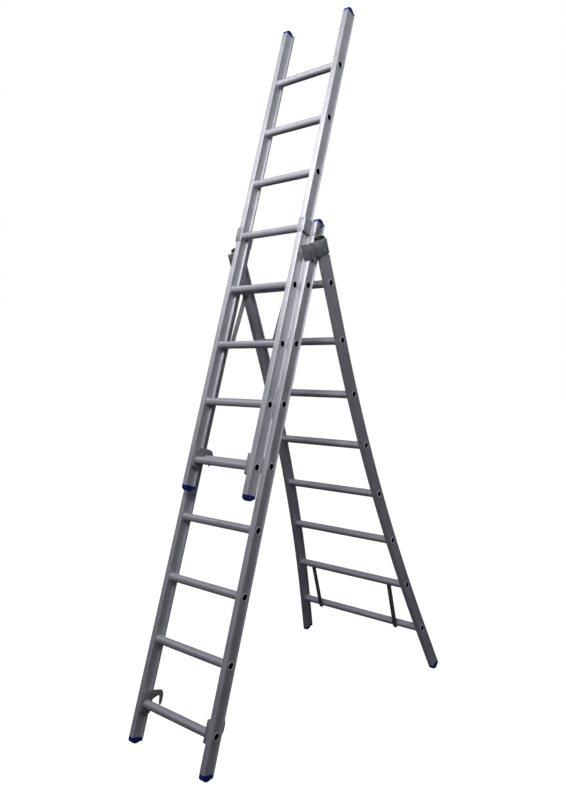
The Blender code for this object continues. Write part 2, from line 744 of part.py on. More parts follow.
def build_upper():
    """Upper section: hooks on the middle one, and slides up along it."""
    outer = WIDTH_UPPER / 2
    add_rungs("upper", UPPER, lambda z: outer, lambda n: (RUNG_COUNT - n) * RUNG_PITCH)
    for word, side in SIDES:
        straight_stile(f"upper_stile_{word}", UPPER, WIDTH_UPPER, side,
                       UPPER_BELOW, UPPER_ABOVE)
        outline = stile_outline(outer, side)
        plug = cavity_outline(outer, side, GAP)
        add_cap(f"upper_top_cap_{word}", UPPER, outline, plug, RUNG_RUN + UPPER_ABOVE, 1,
                BLUE_PLASTIC)
        add_cap(f"upper_bottom_cap_{word}", UPPER, outline, plug, -UPPER_BELOW, -1,
                BLUE_PLASTIC, skirt=LOWER_CAP_SKIRT, dome=LOWER_CAP_DOME)
        add_hook(f"upper_hook_{word}", UPPER, WIDTH_UPPER, side, upper_hook_outline())


def build_middle():
    """Middle section: stands on the floor and carries the other two."""
    outer = WIDTH_MIDDLE / 2
    add_rungs("middle", MIDDLE, lambda z: outer, lambda n: (RUNG_COUNT - n) * RUNG_PITCH)
    for word, side in SIDES:
        stile = straight_stile(f"middle_stile_{word}", MIDDLE, WIDTH_MIDDLE, side,
                               MIDDLE_BELOW, MIDDLE_ABOVE)
        outline = stile_outline(outer, side)
        plug = cavity_outline(outer, side, GAP)
        add_cap(f"middle_top_cap_{word}", MIDDLE, outline, plug, RUNG_RUN + MIDDLE_ABOVE, 1,
                BLUE_PLASTIC, plug_depth=SHORT_PLUG)
        add_cap(f"middle_foot_{word}", MIDDLE, outline, plug, -MIDDLE_BELOW, -1,
                BLUE_PLASTIC, skirt=FOOT_SKIRT, dome=FOOT_DOME, stands=True)
        add_hook(f"middle_hook_{word}", MIDDLE, WIDTH_MIDDLE, side, MIDDLE_HOOK)
        add_stay(f"middle_stay_{word}", MIDDLE, side * MIDDLE_STAY_X,
                 (RUNG_COUNT - 2) * RUNG_PITCH)
        add_buffer(f"buffer_{word}", side)
        guide, guide_hole = add_guide(f"guide_{word}", side)
        boolean(stile, guide_hole)
        ends = sorted((side * (outer - STILE_THICK - CUT_PAST), side * (outer + CUT_PAST)))
        pivot = round_bar_mesh(f"pivot_hole_{word}", BOLT_RADIUS + GAP, *ends, BOLT_SIDES)
        pivot.transform(Matrix.Translation((0.0, 0.0, RUNG_RUN + PIVOT_ABOVE)))
        boolean(stile, cutter(f"pivot_hole_{word}", pivot, MIDDLE))
        add_guide_bolt(f"guide_bolt_{word}", side)
        add_hinge_bolt(f"hinge_bolt_{word}", side)


def build_rear():
    """Rear section: swings on the hinge, with stiles that spread towards the floor."""
    add_rungs("rear", REAR, rear_half_width, rear_rung_z, PLANE_SPACING, rear_slope)
    outer = WIDTH_REAR / 2
    for word, side in SIDES:
        stile = shift_to_rear_plane(rear_stile(f"rear_stile_{word}", side))
        for modifier in stile.modifiers:
            shift_to_rear_plane(modifier.object)
        plug = cavity_outline(outer, side, GAP)
        add_cap(f"rear_top_cap_{word}", REAR, stile_outline(outer, side, False, False),
                plug, REAR_ABOVE_PIVOT, 1, BLACK_PLASTIC, skirt=PLUG_SKIRT, dome=PLUG_DOME,
                y=PLANE_SPACING)
        add_cap(f"rear_foot_{word}", REAR, stile_outline(outer, side), plug,
                rear_rung_z(RUNG_COUNT) - REAR_BELOW, -1, BLUE_PLASTIC, skirt=FOOT_SKIRT,
                dome=FOOT_DOME, side=side, y=PLANE_SPACING, spreads=True, stands=True)
        add_bracket(f"hinge_bracket_{word}", side)
        add_stay(f"rear_stay_{word}", REAR, side * REAR_STAY_X, rear_rung_z(RUNG_COUNT),
                 PLANE_SPACING)


build_upper()
build_middle()
build_rear()
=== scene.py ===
"""Looks of the three-section combination ladder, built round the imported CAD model.

Every visible piece is made in the frame of its section: x across, y to the rear and z up
along the stiles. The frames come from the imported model's joints and nodes.
"""

import json
import math

import bmesh
import bpy
from mathutils import Matrix, Vector


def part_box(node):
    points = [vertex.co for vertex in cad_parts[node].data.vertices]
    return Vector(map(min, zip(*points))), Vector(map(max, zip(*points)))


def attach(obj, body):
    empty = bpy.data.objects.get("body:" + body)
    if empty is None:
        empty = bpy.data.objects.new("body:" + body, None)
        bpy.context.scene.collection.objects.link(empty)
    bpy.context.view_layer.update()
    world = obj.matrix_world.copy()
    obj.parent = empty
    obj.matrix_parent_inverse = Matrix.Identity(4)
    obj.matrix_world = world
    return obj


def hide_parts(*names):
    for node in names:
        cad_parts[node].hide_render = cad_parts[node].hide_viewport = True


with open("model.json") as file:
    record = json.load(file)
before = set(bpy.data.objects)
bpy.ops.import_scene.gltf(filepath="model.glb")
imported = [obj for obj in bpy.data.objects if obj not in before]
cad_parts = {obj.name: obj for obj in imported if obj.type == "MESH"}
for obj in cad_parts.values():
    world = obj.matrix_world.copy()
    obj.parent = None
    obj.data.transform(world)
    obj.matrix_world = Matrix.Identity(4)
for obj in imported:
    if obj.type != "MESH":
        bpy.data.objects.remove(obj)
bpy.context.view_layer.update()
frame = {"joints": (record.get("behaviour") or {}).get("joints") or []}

# ---------------------------------------------------------------- sizes, in metres
RUNG_PITCH = 0.280
RUNG_COUNT = 8
RUNG_RUN = RUNG_PITCH * (RUNG_COUNT - 1)
PLANE_SPACING = 0.0517
PIVOT_ABOVE = 0.1230
WIDTH = {"upper": 0.4032, "middle": 0.4740, "rear": 0.5430}
SPREAD_START = 0.280
SPREAD_RATE = 0.0514

STILE_THICK = 0.0280
STILE_FRONT = 0.0264
STILE_REAR = 0.0250
STILE_WALL = 0.0018
INNER_LIP = 0.0110
INNER_LIP_START = 0.0158
OUTER_FLANGE = 0.0060
OUTER_FLANGE_START = 0.0220

SPIGOT = 0.0150
BORE = 0.0138
BEAD = 0.0185
RUNG_DEPTH = 0.0194
RUNG_HEIGHT = 0.0166
RUNG_POWER = 2.5
RUNG_AHEAD = 0.0040
RUNG_BELOW = 0.0008
RIB_DEPTH = 0.00035
RIBS = 48

# Air between touching pieces, how far cutters run past what they cut, and how close points
# are when they are joined.
GAP = 0.0003
CUT_PAST = 0.0010
CUT_REACH = 0.0200
CUT_SKIN = 0.0001
WELD = 1e-6

SECTIONS = {"upper": "upper_section", "middle": "middle_section", "rear": "rear_section"}
SIDES = (("left", -1), ("right", 1))

# ---------------------------------------------------------------- frames of the sections
JOINTS = {joint["name"]: joint for joint in frame["joints"]}
HINGE = Vector(JOINTS["rear_section_hinge"]["pos_m"])
SLIDE = Vector(JOINTS["upper_section_slide"]["axis"]).normalized()


def centre(node):
    """Middle of a node's box."""
    low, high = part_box(node)
    return (low + high) / 2


def lean_of(up):
    """Angle by which a direction leans to the front."""
    return math.atan2(-up.y, up.z)


LEAN_FRONT = lean_of(SLIDE)
LEAN_REAR = lean_of(centre("rear_rung_1") - centre("rear_rung_8"))
MIDDLE = (Matrix.Translation(HINGE) @ Matrix.Rotation(LEAN_FRONT, 4, "X")
          @ Matrix.Translation((0.0, 0.0, -RUNG_RUN - PIVOT_ABOVE)))
UPPER = Matrix.Translation(centre("upper_rung_8") - centre("middle_rung_8")) @ MIDDLE
REAR = (Matrix.Translation(HINGE) @ Matrix.Rotation(LEAN_REAR, 4, "X")
        @ Matrix.Translation((0.0, PLANE_SPACING, 0.0)))
FRAMES = {"upper": UPPER, "middle": MIDDLE, "rear": REAR}


def rear_rung_z(number):
    """Height of a rear rung in its section, under the hinge's axis."""
    return -PIVOT_ABOVE - (number - 1) * RUNG_PITCH


def rung_z(section, number):
    """Height of a rung in its section; rung 1 is the highest."""
    if section == "rear":
        return rear_rung_z(number)
    return (RUNG_COUNT - number) * RUNG_PITCH


def half_width(section, z):
    """Half of the width over the stiles; only the rear section's changes with height."""
    if section != "rear":
        return WIDTH[section] / 2
    below = -PIVOT_ABOVE - z
    length = RUNG_RUN - SPREAD_START
    curved = min(max(below - SPREAD_START, 0.0), length)
    straight = max(below - RUNG_RUN, 0.0)
    return WIDTH["rear"] / 2 + SPREAD_RATE * (curved ** 2 + 2 * curved * straight)


def slope(section, z):
    """Growth of the half width for every metre upwards."""
    step = 0.001
    return (half_width(section, z + step) - half_width(section, z - step)) / (2 * step)


# ---------------------------------------------------------------- materials
def node_material(name):
    mat = bpy.data.materials.new(name)
    mat.use_nodes = True
    return mat, mat.node_tree.nodes, mat.node_tree.links


def texture_space(nodes, links, scale):
    """Object coordinates, stretched so that a texture runs along the piece."""
    place = nodes.new("ShaderNodeTexCoord")
    mapping = nodes.new("ShaderNodeMapping")
    mapping.inputs["Scale"].default_value = scale
    links.new(place.outputs["Object"], mapping.inputs["Vector"])
    return mapping.outputs["Vector"]


def noise(nodes, links, space, scale, detail=3.0):
    tex = nodes.new("ShaderNodeTexNoise")
    tex.inputs["Scale"].default_value = scale
    tex.inputs["Detail"].default_value = detail
    links.new(space, tex.inputs["Vector"])
    return tex.outputs["Fac"]


def ramp(nodes, links, factor, stops):
    """Colour ramp from (position, grey or colour) pairs."""
    node = nodes.new("ShaderNodeValToRGB")
    elements = node.color_ramp.elements
    while len(elements) < len(stops):
        elements.new(0.5)
    for element, (position, colour) in zip(elements, stops):
        if not isinstance(colour, tuple):
            colour = (colour, colour, colour)
        element.position = position
        element.color = (*colour, 1.0)
    links.new(factor, node.inputs["Fac"])
    return node.outputs["Color"]


def mixed(nodes, links, factor, a, b, blend="MIX"):
    node = nodes.new("ShaderNodeMix")
    node.data_type = "RGBA"
    node.blend_type = blend
    node.clamp_result = True
    if isinstance(factor, float):
        node.inputs["Factor"].default_value = factor
    else:
        links.new(factor, node.inputs["Factor"])
    links.new(a, node.inputs["A"])
    links.new(b, node.inputs["B"])
    return node.outputs["Result"]


def bump(nodes, links, height, strength, distance):
    node = nodes.new("ShaderNodeBump")
    node.inputs["Strength"].default_value = strength
    node.inputs["Distance"].default_value = distance
    links.new(height, node.inputs["Height"])
    return node.outputs["Normal"]


def wear(nodes, links):
    """Lighter along convex edges, where handling polishes them."""
    geometry = nodes.new("ShaderNodeNewGeometry")
    return ramp(nodes, links, geometry.outputs["Pointiness"], [(0.50, 0.0), (0.60, 1.0)])


def extruded_aluminium(name, along, light, dark, rough=(0.41, 0.54), metallic=0.6,
                       polish=0.25):
    """Mill-finished extrusion: drawing lines along its length, faint stains and handling."""
    mat, nodes, links = node_material(name)
    shader = nodes["Principled BSDF"]
    stretch = {"x": (6.0, 900.0, 900.0), "z": (900.0, 900.0, 6.0)}[along]
    lines = noise(nodes, links, texture_space(nodes, links, stretch), 1.0, 4.0)
    stains = noise(nodes, links, texture_space(nodes, links, (1.0, 1.0, 1.0)), 9.0, 6.0)
    grain = ramp(nodes, links, lines, [(0.30, dark), (0.70, light)])
    stain = ramp(nodes, links, stains, [(0.35, 0.86), (0.62, 1.0)])
    colour = mixed(nodes, links, 1.0, grain, stain, "MULTIPLY")
    edge = ramp(nodes, links, wear(nodes, links), [(0.0, light), (1.0, (0.92, 0.92, 0.93))])
    colour = mixed(nodes, links, polish, colour, edge, "LIGHTEN")
    links.new(colour, shader.inputs["Base Color"])
    scratch = mixed(nodes, links, 0.35, lines, stains)
    rough_value = ramp(nodes, links, scratch, [(0.30, rough[0]), (0.72, rough[1])])
    links.new(rough_value, shader.inputs["Roughness"])
    links.new(bump(nodes, links, lines, 0.18, 0.0002), shader.inputs["Normal"])
    shader.inputs["Metallic"].default_value = metallic
    shader.inputs["Anisotropic"].default_value = 0.3
    return mat


def moulded_plastic(name, light, dark, rough=(0.38, 0.55), coat=0.0):
    """Injection-moulded plastic with a fine spark-eroded grain and scuffs."""
    mat, nodes, links = node_material(name)
    shader = nodes["Principled BSDF"]
    space = texture_space(nodes, links, (1.0, 1.0, 1.0))
    grain = noise(nodes, links, space, 1500.0, 2.0)
    scuffs = noise(nodes, links, space, 60.0, 6.0)
    colour = ramp(nodes, links, scuffs, [(0.35, dark), (0.70, light)])
    links.new(colour, shader.inputs["Base Color"])
    links.new(ramp(nodes, links, scuffs, [(0.35, rough[0]), (0.70, rough[1])]),
              shader.inputs["Roughness"])
    links.new(bump(nodes, links, grain, 0.25, 0.0002), shader.inputs["Normal"])
    shader.inputs["Coat Weight"].default_value = coat
    shader.inputs["Coat Roughness"].default_value = 0.25
    return mat


def coated_steel(name, light, dark, rough, metallic, grain_scale):
    """Plated or painted steel: a mottled film over a slightly uneven surface."""
    mat, nodes, links = node_material(name)
    shader = nodes["Principled BSDF"]
    space = texture_space(nodes, links, (1.0, 1.0, 1.0))
    cells = nodes.new("ShaderNodeTexVoronoi")
    cells.inputs["Scale"].default_value = grain_scale
    links.new(space, cells.inputs["Vector"])
    mottle = noise(nodes, links, space, grain_scale * 0.4, 5.0)
    blend = mixed(nodes, links, 0.5, cells.outputs["Color"], mottle)
    base = ramp(nodes, links, blend, [(0.25, dark), (0.75, light)])
    edge = ramp(nodes, links, wear(nodes, links), [(0.0, light), (1.0, (0.75, 0.76, 0.78))])
    links.new(mixed(nodes, links, 0.12, base, edge, "LIGHTEN"), shader.inputs["Base Color"])
    links.new(ramp(nodes, links, mottle, [(0.30, rough[0]), (0.70, rough[1])]),
              shader.inputs["Roughness"])
    links.new(bump(nodes, links, mottle, 0.15, 0.0003), shader.inputs["Normal"])
    shader.inputs["Metallic"].default_value = metallic
    return mat


STILE_METAL = extruded_aluminium("stile_aluminium", "z", (0.66, 0.66, 0.71),
                                 (0.54, 0.54, 0.59))
RUNG_METAL = extruded_aluminium("rung_aluminium", "x", (0.58, 0.58, 0.63), (0.46, 0.46, 0.51),
                                rough=(0.48, 0.62), metallic=0.45)
# Rolled rims: the tube's aluminium made lighter, as a painted highlight on the rims' beads.
RIM_PAINTED_HIGHLIGHT = extruded_aluminium("rim_painted_highlight", "x", (0.90, 0.90, 0.94), (0.78, 0.78, 0.82),
                               rough=(0.45, 0.58), metallic=0.35)
# Inside of the rung tubes: the tube's aluminium painted near black and without reflection, as
# painted shade in the bore.
BORE_PAINTED_SHADE = extruded_aluminium("bore_painted_shade", "x", (0.020, 0.020, 0.023),
                                (0.006, 0.006, 0.007), rough=(0.85, 0.95), metallic=0.0,
                                polish=0.0)
BORE_PAINTED_SHADE.node_tree.nodes["Principled BSDF"].inputs["Specular IOR Level"].default_value = 0.0
BLUE = moulded_plastic("blue_plastic", (0.012, 0.022, 0.300), (0.006, 0.012, 0.190))
BLACK = moulded_plastic("black_plastic", (0.018, 0.018, 0.020), (0.008, 0.008, 0.009))
DARK_STEEL = coated_steel("dark_steel", (0.43, 0.44, 0.47), (0.31, 0.32, 0.345),
                          (0.38, 0.54), 0.75, 160.0)
STAY_STEEL = coated_steel("stay_steel", (0.150, 0.150, 0.158), (0.085, 0.085, 0.092),
                          (0.45, 0.62), 0.3, 220.0)
BOLT_STEEL = coated_steel("bolt_steel", (0.10, 0.10, 0.11), (0.05, 0.05, 0.055),
                          (0.35, 0.50), 0.7, 220.0)
CASTING = coated_steel("hook_casting", (0.42, 0.43, 0.46), (0.30, 0.31, 0.33),
                       (0.48, 0.66), 0.6, 260.0)
ZINC = coated_steel("zinc_steel", (0.52, 0.53, 0.57), (0.41, 0.42, 0.46),
                    (0.36, 0.50), 0.7, 120.0)
RIVET_METAL = coated_steel("rivet_metal", (0.85, 0.86, 0.88), (0.70, 0.71, 0.73),
                           (0.24, 0.38), 0.9, 300.0)


# ---------------------------------------------------------------- mesh tools
def piece(name, mesh, section, mats, node=None):
    """Puts a mesh made in a section's frame in place, on that section's body.

    Extruded metal keeps the section's axes, because its drawing lines follow them.
    """
    obj = bpy.data.objects.new(name, mesh)
    bpy.context.scene.collection.objects.link(obj)
    for mat in mats:
        mesh.materials.append(mat)
    if mats[0] in (STILE_METAL, RUNG_METAL):
        obj.matrix_world = FRAMES[section]
    else:
        mesh.transform(FRAMES[section])
    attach(obj, SECTIONS[section])
    if node:
        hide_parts(node)


def mesh_from(bm, name, smooth=35.0):
    """Mesh shaded smooth, apart from the edges that turn by more than the angle."""
    bmesh.ops.recalc_face_normals(bm, faces=bm.faces)
    mesh = bpy.data.meshes.new(name)
    bm.to_mesh(mesh)
    bm.free()
    mesh.shade_smooth()
    mesh.set_sharp_from_angle(angle=math.radians(smooth))
    return mesh


def round_points(radius, sides, u=0.0, v=0.0):
    """Points of a whole circle round (u, v)."""
    angles = [2 * math.pi * i / sides for i in range(sides)]
    return [(u + radius * math.cos(a), v + radius * math.sin(a)) for a in angles]


def arc(cx, cy, radius, start, end, steps):
    """Points on an arc, by angles in degrees."""
    angles = [math.radians(start + (end - start) * i / steps) for i in range(steps + 1)]
    return [(cx + radius * math.cos(a), cy + radius * math.sin(a)) for a in angles]


def filleted(corners, steps=4, closed=True):
    """Outline from (x, y, radius) corners, each rounded by a tangent arc."""
    points = []
    count = len(corners)
    for i, (x, y, radius) in enumerate(corners):
        here = Vector((x, y))
        if radius <= 0 or (not closed and i in (0, count - 1)):
            points.append((x, y))
            continue
        before = (Vector(corners[i - 1][:2]) - here).normalized()
        after = (Vector(corners[(i + 1) % count][:2]) - here).normalized()
        half = before.angle(after) / 2
        reach = radius / math.tan(half)
        middle = here + (before + after).normalized() * (radius / math.sin(half))
        first = here + before * reach - middle
        last = here + after * reach - middle
        turn = first.angle_signed(last)
        for k in range(steps + 1):
            angle = -turn * k / steps
            c, s = math.cos(angle), math.sin(angle)
            points.append((middle.x + first.x * c - first.y * s,
                           middle.y + first.x * s + first.y * c))
    return points


def loft(bm, rings, material=0):
    """Skin through closed rings of equally many points; returns the vertex rings."""
    made = [[bm.verts.new(point) for point in ring] for ring in rings]
    count = len(made[0])
    for a, b in zip(made, made[1:]):
        for i in range(count):
            j = (i + 1) % count
            face = bm.faces.new((a[i], a[j], b[j], b[i]))
            face.material_index = material
    return made


def close_ends(bm, rings):
    """Faces over the first and the last of the rings that loft returned."""
    bm.faces.new(rings[0])
    bm.faces.new(rings[-1])


def prism(outline, levels):
    """Solid with one outline at every level, closed by a face at both ends."""
    bm = bmesh.new()
    close_ends(bm, loft(bm, [[(x, y, z) for x, y in outline] for z in levels]))
    bmesh.ops.recalc_face_normals(bm, faces=bm.faces)
    return bm


def facing_x(bm):
    """Turns a prism drawn as (y, z) outlines so that its thickness is along X."""
    turn = Matrix(((0, 0, 1, 0), (1, 0, 0, 0), (0, 1, 0, 0), (0, 0, 0, 1)))
    bmesh.ops.transform(bm, matrix=turn, verts=bm.verts)
    return bm


def bevelled(bm, width, segments=2, angle=35.0):
    """Rounds the edges that turn by more than the angle."""
    sharp = [e for e in bm.edges
             if len(e.link_faces) == 2 and e.calc_face_angle(0.0) > math.radians(angle)]
    bmesh.ops.bevel(bm, geom=sharp, offset=width, segments=segments, profile=0.5,
                    affect="EDGES", clamp_overlap=True)
    return bm


def cut(bm, cutters, operation="DIFFERENCE"):
    """Boolean of one bmesh with others, done on throwaway objects."""
    def stand_in(source):
        mesh = bpy.data.meshes.new("stand_in")
        source.to_mesh(mesh)
        source.free()
        obj = bpy.data.objects.new("stand_in", mesh)
        bpy.context.scene.collection.objects.link(obj)
        return obj

    target = stand_in(bm)
    others = [stand_in(cutter) for cutter in cutters]
    for other in others:
        modifier = target.modifiers.new("cut", "BOOLEAN")
        modifier.operation = operation
        modifier.solver = "EXACT"
        modifier.object = other
    bpy.context.view_layer.update()
    graph = bpy.context.evaluated_depsgraph_get()
    result = bmesh.new()
    evaluated = target.evaluated_get(graph)
    result.from_mesh(evaluated.to_mesh())
    evaluated.to_mesh_clear()
    for obj in (target, *others):
        mesh = obj.data
        bpy.data.objects.remove(obj)
        bpy.data.meshes.remove(mesh)
    return result


def bar(radius, start, end, y, z, sides=48):
    """Cylinder along X."""
    return facing_x(prism(round_points(radius, sides, y, z), (start, end)))


def box(low, high):
    """Plain block between two corners."""
    outline = [(low[0], low[1]), (high[0], low[1]), (high[0], high[1]), (low[0], high[1])]
    return prism(outline, (low[2], high[2]))


def turned(profile, axis_y, axis_z, sides=32, bm=None):
    """Turned piece along X from (radius, x) pairs, closed at both ends."""
    bm = bm or bmesh.new()
    rings = [[(x, u, v) for u, v in round_points(radius, sides, axis_y, axis_z)]
             for radius, x in profile]
    close_ends(bm, loft(bm, rings))
    return bm


def spread(bm):
    """Moves points of a right-hand rear piece outwards along the curve of its stile."""
    for vertex in bm.verts:
        vertex.co.x += half_width("rear", vertex.co.z) - WIDTH["rear"] / 2


def mirror(bm, side):
    """A piece is modelled on the right; the left one is its mirror image."""
    if side < 0:
        bmesh.ops.scale(bm, vec=(-1.0, 1.0, 1.0), verts=bm.verts)
        bmesh.ops.reverse_faces(bm, faces=bm.faces)
    return bm


# ---------------------------------------------------------------- stiles
# Two shallow grooves of the die on the front face.
GROOVE_WIDE = 0.0022
GROOVE_DEEP = 0.0008
GROOVE_INSET = 0.0105
# Corners of the groove on the rear face, across from the line of the inner face.
REAR_GROOVE = (-0.0010, -0.0002, 0.0012, 0.0020)
# Radii of the section's edges and of the roots of its lip and flange.
OUTER_EDGE = 0.0026
INNER_EDGE = 0.0005
ROOT_EDGE = 0.0012
LIP_FRONT_EDGE = 0.0010
LIP_REAR_EDGE = 0.0012
FLANGE_FRONT_EDGE = 0.0006
FLANGE_REAR_EDGE = 0.0002
HOLLOW_EDGE = 0.0012
# How far the metal runs past the lowest and the highest rung, and past the hinge's axis.
UPPER_BELOW = 0.1222
UPPER_ABOVE = 0.2860
MIDDLE_BELOW = 0.1487
MIDDLE_ABOVE = 0.3000
REAR_BELOW = 0.2347
REAR_ABOVE = 0.0800
LENGTHS = {"upper": (-UPPER_BELOW, RUNG_RUN + UPPER_ABOVE),
           "middle": (-MIDDLE_BELOW, RUNG_RUN + MIDDLE_ABOVE),
           "rear": (rear_rung_z(RUNG_COUNT) - REAR_BELOW, REAR_ABOVE)}
# Heights over the hinge's axis at which the rear stiles' lip and flange are cut away.
LIP_STOP = 0.0360
FLANGE_STOP = 0.0040
STOP_CUT_TOP = 0.2000
STOP_CUT_REAR = 0.0500
CURVE_STEPS = 24


def stile_outline(outer):
    """Section of a right-hand stile with its rounded edges and the grooves of the die."""
    inner = outer - STILE_THICK
    lip = inner - INNER_LIP
    flange = outer + OUTER_FLANGE
    front = -STILE_FRONT
    front_floor = front + GROOVE_DEEP
    rear_floor = STILE_REAR - GROOVE_DEEP
    grooves = []
    for x in (outer - GROOVE_INSET, inner + GROOVE_INSET):
        grooves += [(x + GROOVE_WIDE / 2, front, 0.0), (x + GROOVE_WIDE / 4, front_floor, 0.0),
                    (x - GROOVE_WIDE / 4, front_floor, 0.0), (x - GROOVE_WIDE / 2, front, 0.0)]
    rear_groove = [(inner + x, y, 0.0) for x, y in
                   zip(REAR_GROOVE, (STILE_REAR, rear_floor, rear_floor, STILE_REAR))]
    return filleted([
        (outer, front, OUTER_EDGE), *grooves, (inner, front, INNER_EDGE),
        (inner, INNER_LIP_START, ROOT_EDGE), (lip, INNER_LIP_START, LIP_FRONT_EDGE),
        (lip, STILE_REAR, LIP_REAR_EDGE), *rear_groove, (flange, STILE_REAR, FLANGE_REAR_EDGE),
        (flange, OUTER_FLANGE_START, FLANGE_FRONT_EDGE), (outer, OUTER_FLANGE_START, ROOT_EDGE)])


def cavity(outer, low, high, levels=()):
    """Hollow of a stile, open at both ends."""
    right = outer - STILE_WALL
    left = outer - STILE_THICK + STILE_WALL
    front = -STILE_FRONT + STILE_WALL
    back = STILE_REAR - STILE_WALL
    corners = ((right, front), (left, front), (left, back), (right, back))
    outline = filleted([(*corner, HOLLOW_EDGE) for corner in corners], 2)
    return prism(outline, (low - CUT_PAST, *levels, high + CUT_PAST))


def stile(section, word, side):
    """Hollow extrusion with holes for the rungs; a rear one also follows its curve."""
    low, high = LENGTHS[section]
    outer = WIDTH[section] / 2
    inner = outer - STILE_THICK
    levels = []
    if section == "rear":
        curved = rear_rung_z(2) - low
        levels = [low + curved * i / CURVE_STEPS for i in range(1, CURVE_STEPS + 1)]
    body = prism(stile_outline(outer), (low, *levels, high))
    cutters = [cavity(outer, low, high, levels)]
    for number in range(1, RUNG_COUNT + 1):
        cutters.append(bar(SPIGOT + GAP, inner - CUT_REACH, outer + CUT_REACH, 0.0,
                           rung_z(section, number)))
    if section == "rear":
        lip = inner - CUT_SKIN
        cutters.append(box((lip - CUT_REACH, 0.0, LIP_STOP),
                           (lip, STOP_CUT_REAR, STOP_CUT_TOP)))
        cutters.append(box((outer + CUT_SKIN, 0.0, FLANGE_STOP),
                           (outer + CUT_REACH, STOP_CUT_REAR, STOP_CUT_TOP)))
    bm = cut(body, cutters)
    if section == "rear":
        spread(bm)
    mesh = mesh_from(mirror(bm, side), f"{section}_stile_{word}")
    piece(f"{section}_stile_{word}_extrusion", mesh, section, [STILE_METAL],
          f"{section}_stile_{word}")


# ---------------------------------------------------------------- rungs
RING = 144
# Rolled rim: radius, and distance out from the stile's face.
RIM_PROFILE = ((BORE, 0.0004), (BORE + 0.0005, 0.0011), (BORE + 0.0016, 0.0015),
               (BEAD - 0.0012, 0.0014), (BEAD - 0.0003, 0.0010), (BEAD, 0.0004),
               (BEAD - 0.0003, 0.0), (SPIGOT, 0.0))
# Pressed collar: growth of the tread's section, and distance in from the stile.
COLLAR_PROFILE = ((-0.0010, 0.0), (0.0006, 0.0008), (0.0010, 0.0050), (0.0006, 0.0100),
                  (0.0, 0.0130))
COLLAR_END = 0.0145


def circle_ring(radius):
    """Circle with as many points as the tread's section."""
    return round_points(radius, RING)


def body_ring(grow=0.0, ribbed=True):
    """Rounded section of the tread, level when the ladder leans, with fine ribs."""
    points = []
    for i in range(RING):
        angle = 2 * math.pi * i / RING
        c = math.cos(angle + LEAN_FRONT)
        s = math.sin(angle + LEAN_FRONT)
        radius = (abs(c / RUNG_DEPTH) ** RUNG_POWER
                  + abs(s / RUNG_HEIGHT) ** RUNG_POWER) ** (-1 / RUNG_POWER) + grow
        if ribbed and i % (RING // RIBS) == 0:
            radius -= RIB_DEPTH
        points.append((radius * math.cos(angle) - RUNG_AHEAD,
                       radius * math.sin(angle) - RUNG_BELOW))
    return points


def collar_ring(grow):
    """Ring of the pressed collar, which stays in front of the stile's inner lip."""
    return [(min(y, INNER_LIP_START - GAP), z) for y, z in body_ring(grow, False)]


def rung(section, number):
    """Tube: ribbed tread, pressed collars against the stiles and rolled rims outside them."""
    z = rung_z(section, number)
    half = half_width(section, z)
    lean = slope(section, z)
    inner = half - STILE_THICK - GAP
    face = half + GAP
    rim = [(circle_ring(radius), face + out) for radius, out in RIM_PROFILE]
    body = [rim[-1], (circle_ring(SPIGOT), inner)]
    body += [(collar_ring(grow), inner - back) for grow, back in COLLAR_PROFILE]
    body.append((body_ring(), inner - COLLAR_END))
    bm = bmesh.new()

    def placed(ring, x, side):
        return [(side * (x + lean * v), u, z + v) for u, v in ring]

    loft(bm, [placed(*station, 1) for station in body]
         + [placed(*station, -1) for station in reversed(body)])
    # Bore through the tube, in the near-black material: painted shade inside the tube.
    loft(bm, [placed(*rim[0], side) for side in (-1, 1)], material=1)
    # Rolled rims, in the lighter material: a painted highlight on their beads.
    for side in (-1, 1):
        loft(bm, [placed(*station, side) for station in rim], material=2)
    bmesh.ops.remove_doubles(bm, verts=bm.verts, dist=WELD)
    name = f"{section}_rung_{number}"
    mesh = mesh_from(bm, name, 50.0)
    piece(name + "_tube", mesh, section, [RUNG_METAL, BORE_PAINTED_SHADE, RIM_PAINTED_HIGHLIGHT],
          name)


# ---------------------------------------------------------------- caps and feet
# Height of the sides and of the crown, from the end of the metal.
CAP_SHAPES = {"top_cap": (0.0085, 0.0240), "bottom_cap": (0.0140, 0.0260),
              "foot": (0.0165, 0.0275)}
BLACK_CAP_SHAPE = (0.0090, 0.0160)
CROWN_EDGE = 0.0026
CROWN_STEPS = 14
# Rim that lies against the metal and stands a little proud of it.
RIM_HIGH = 0.0034
RIM_PROUD = 0.0003
RIM_CORNER = 0.0028
RIM_EDGE = 0.0008
# Wings that cover the ends of the inner lip and the outer flange.
WING_LOWER = 0.0006
WING_OVERLAP = 0.0060
WING_STEP = 0.0002
LIP_WING_EDGE = 0.0030
FLANGE_WING_EDGE = 0.0010
LEAST_CORNER = 0.0003
EDGE_STEPS = 4


def rounded_block(x0, x1, y0, y1, start, end, radius, edge):
    """Upright block with rounded corners, whose far end has a rounded edge."""
    def ring(z, inset):
        corner = max(radius - inset, LEAST_CORNER)
        left, right = x0 + inset, x1 - inset
        front, back = y0 + inset, y1 - inset
        outline = filleted([(left, front, corner), (right, front, corner),
                            (right, back, corner), (left, back, corner)], 3)
        return [(x, y, z) for x, y in outline]

    up = 1 if end > start else -1
    rings = [ring(start, 0.0)]
    for i in range(EDGE_STEPS + 1):
        angle = math.pi / 2 * i / EDGE_STEPS
        rings.append(ring(end - up * edge * (1 - math.sin(angle)), edge * (1 - math.cos(angle))))
    bm = bmesh.new()
    close_ends(bm, loft(bm, rings))
    bmesh.ops.recalc_face_normals(bm, faces=bm.faces)
    return bm


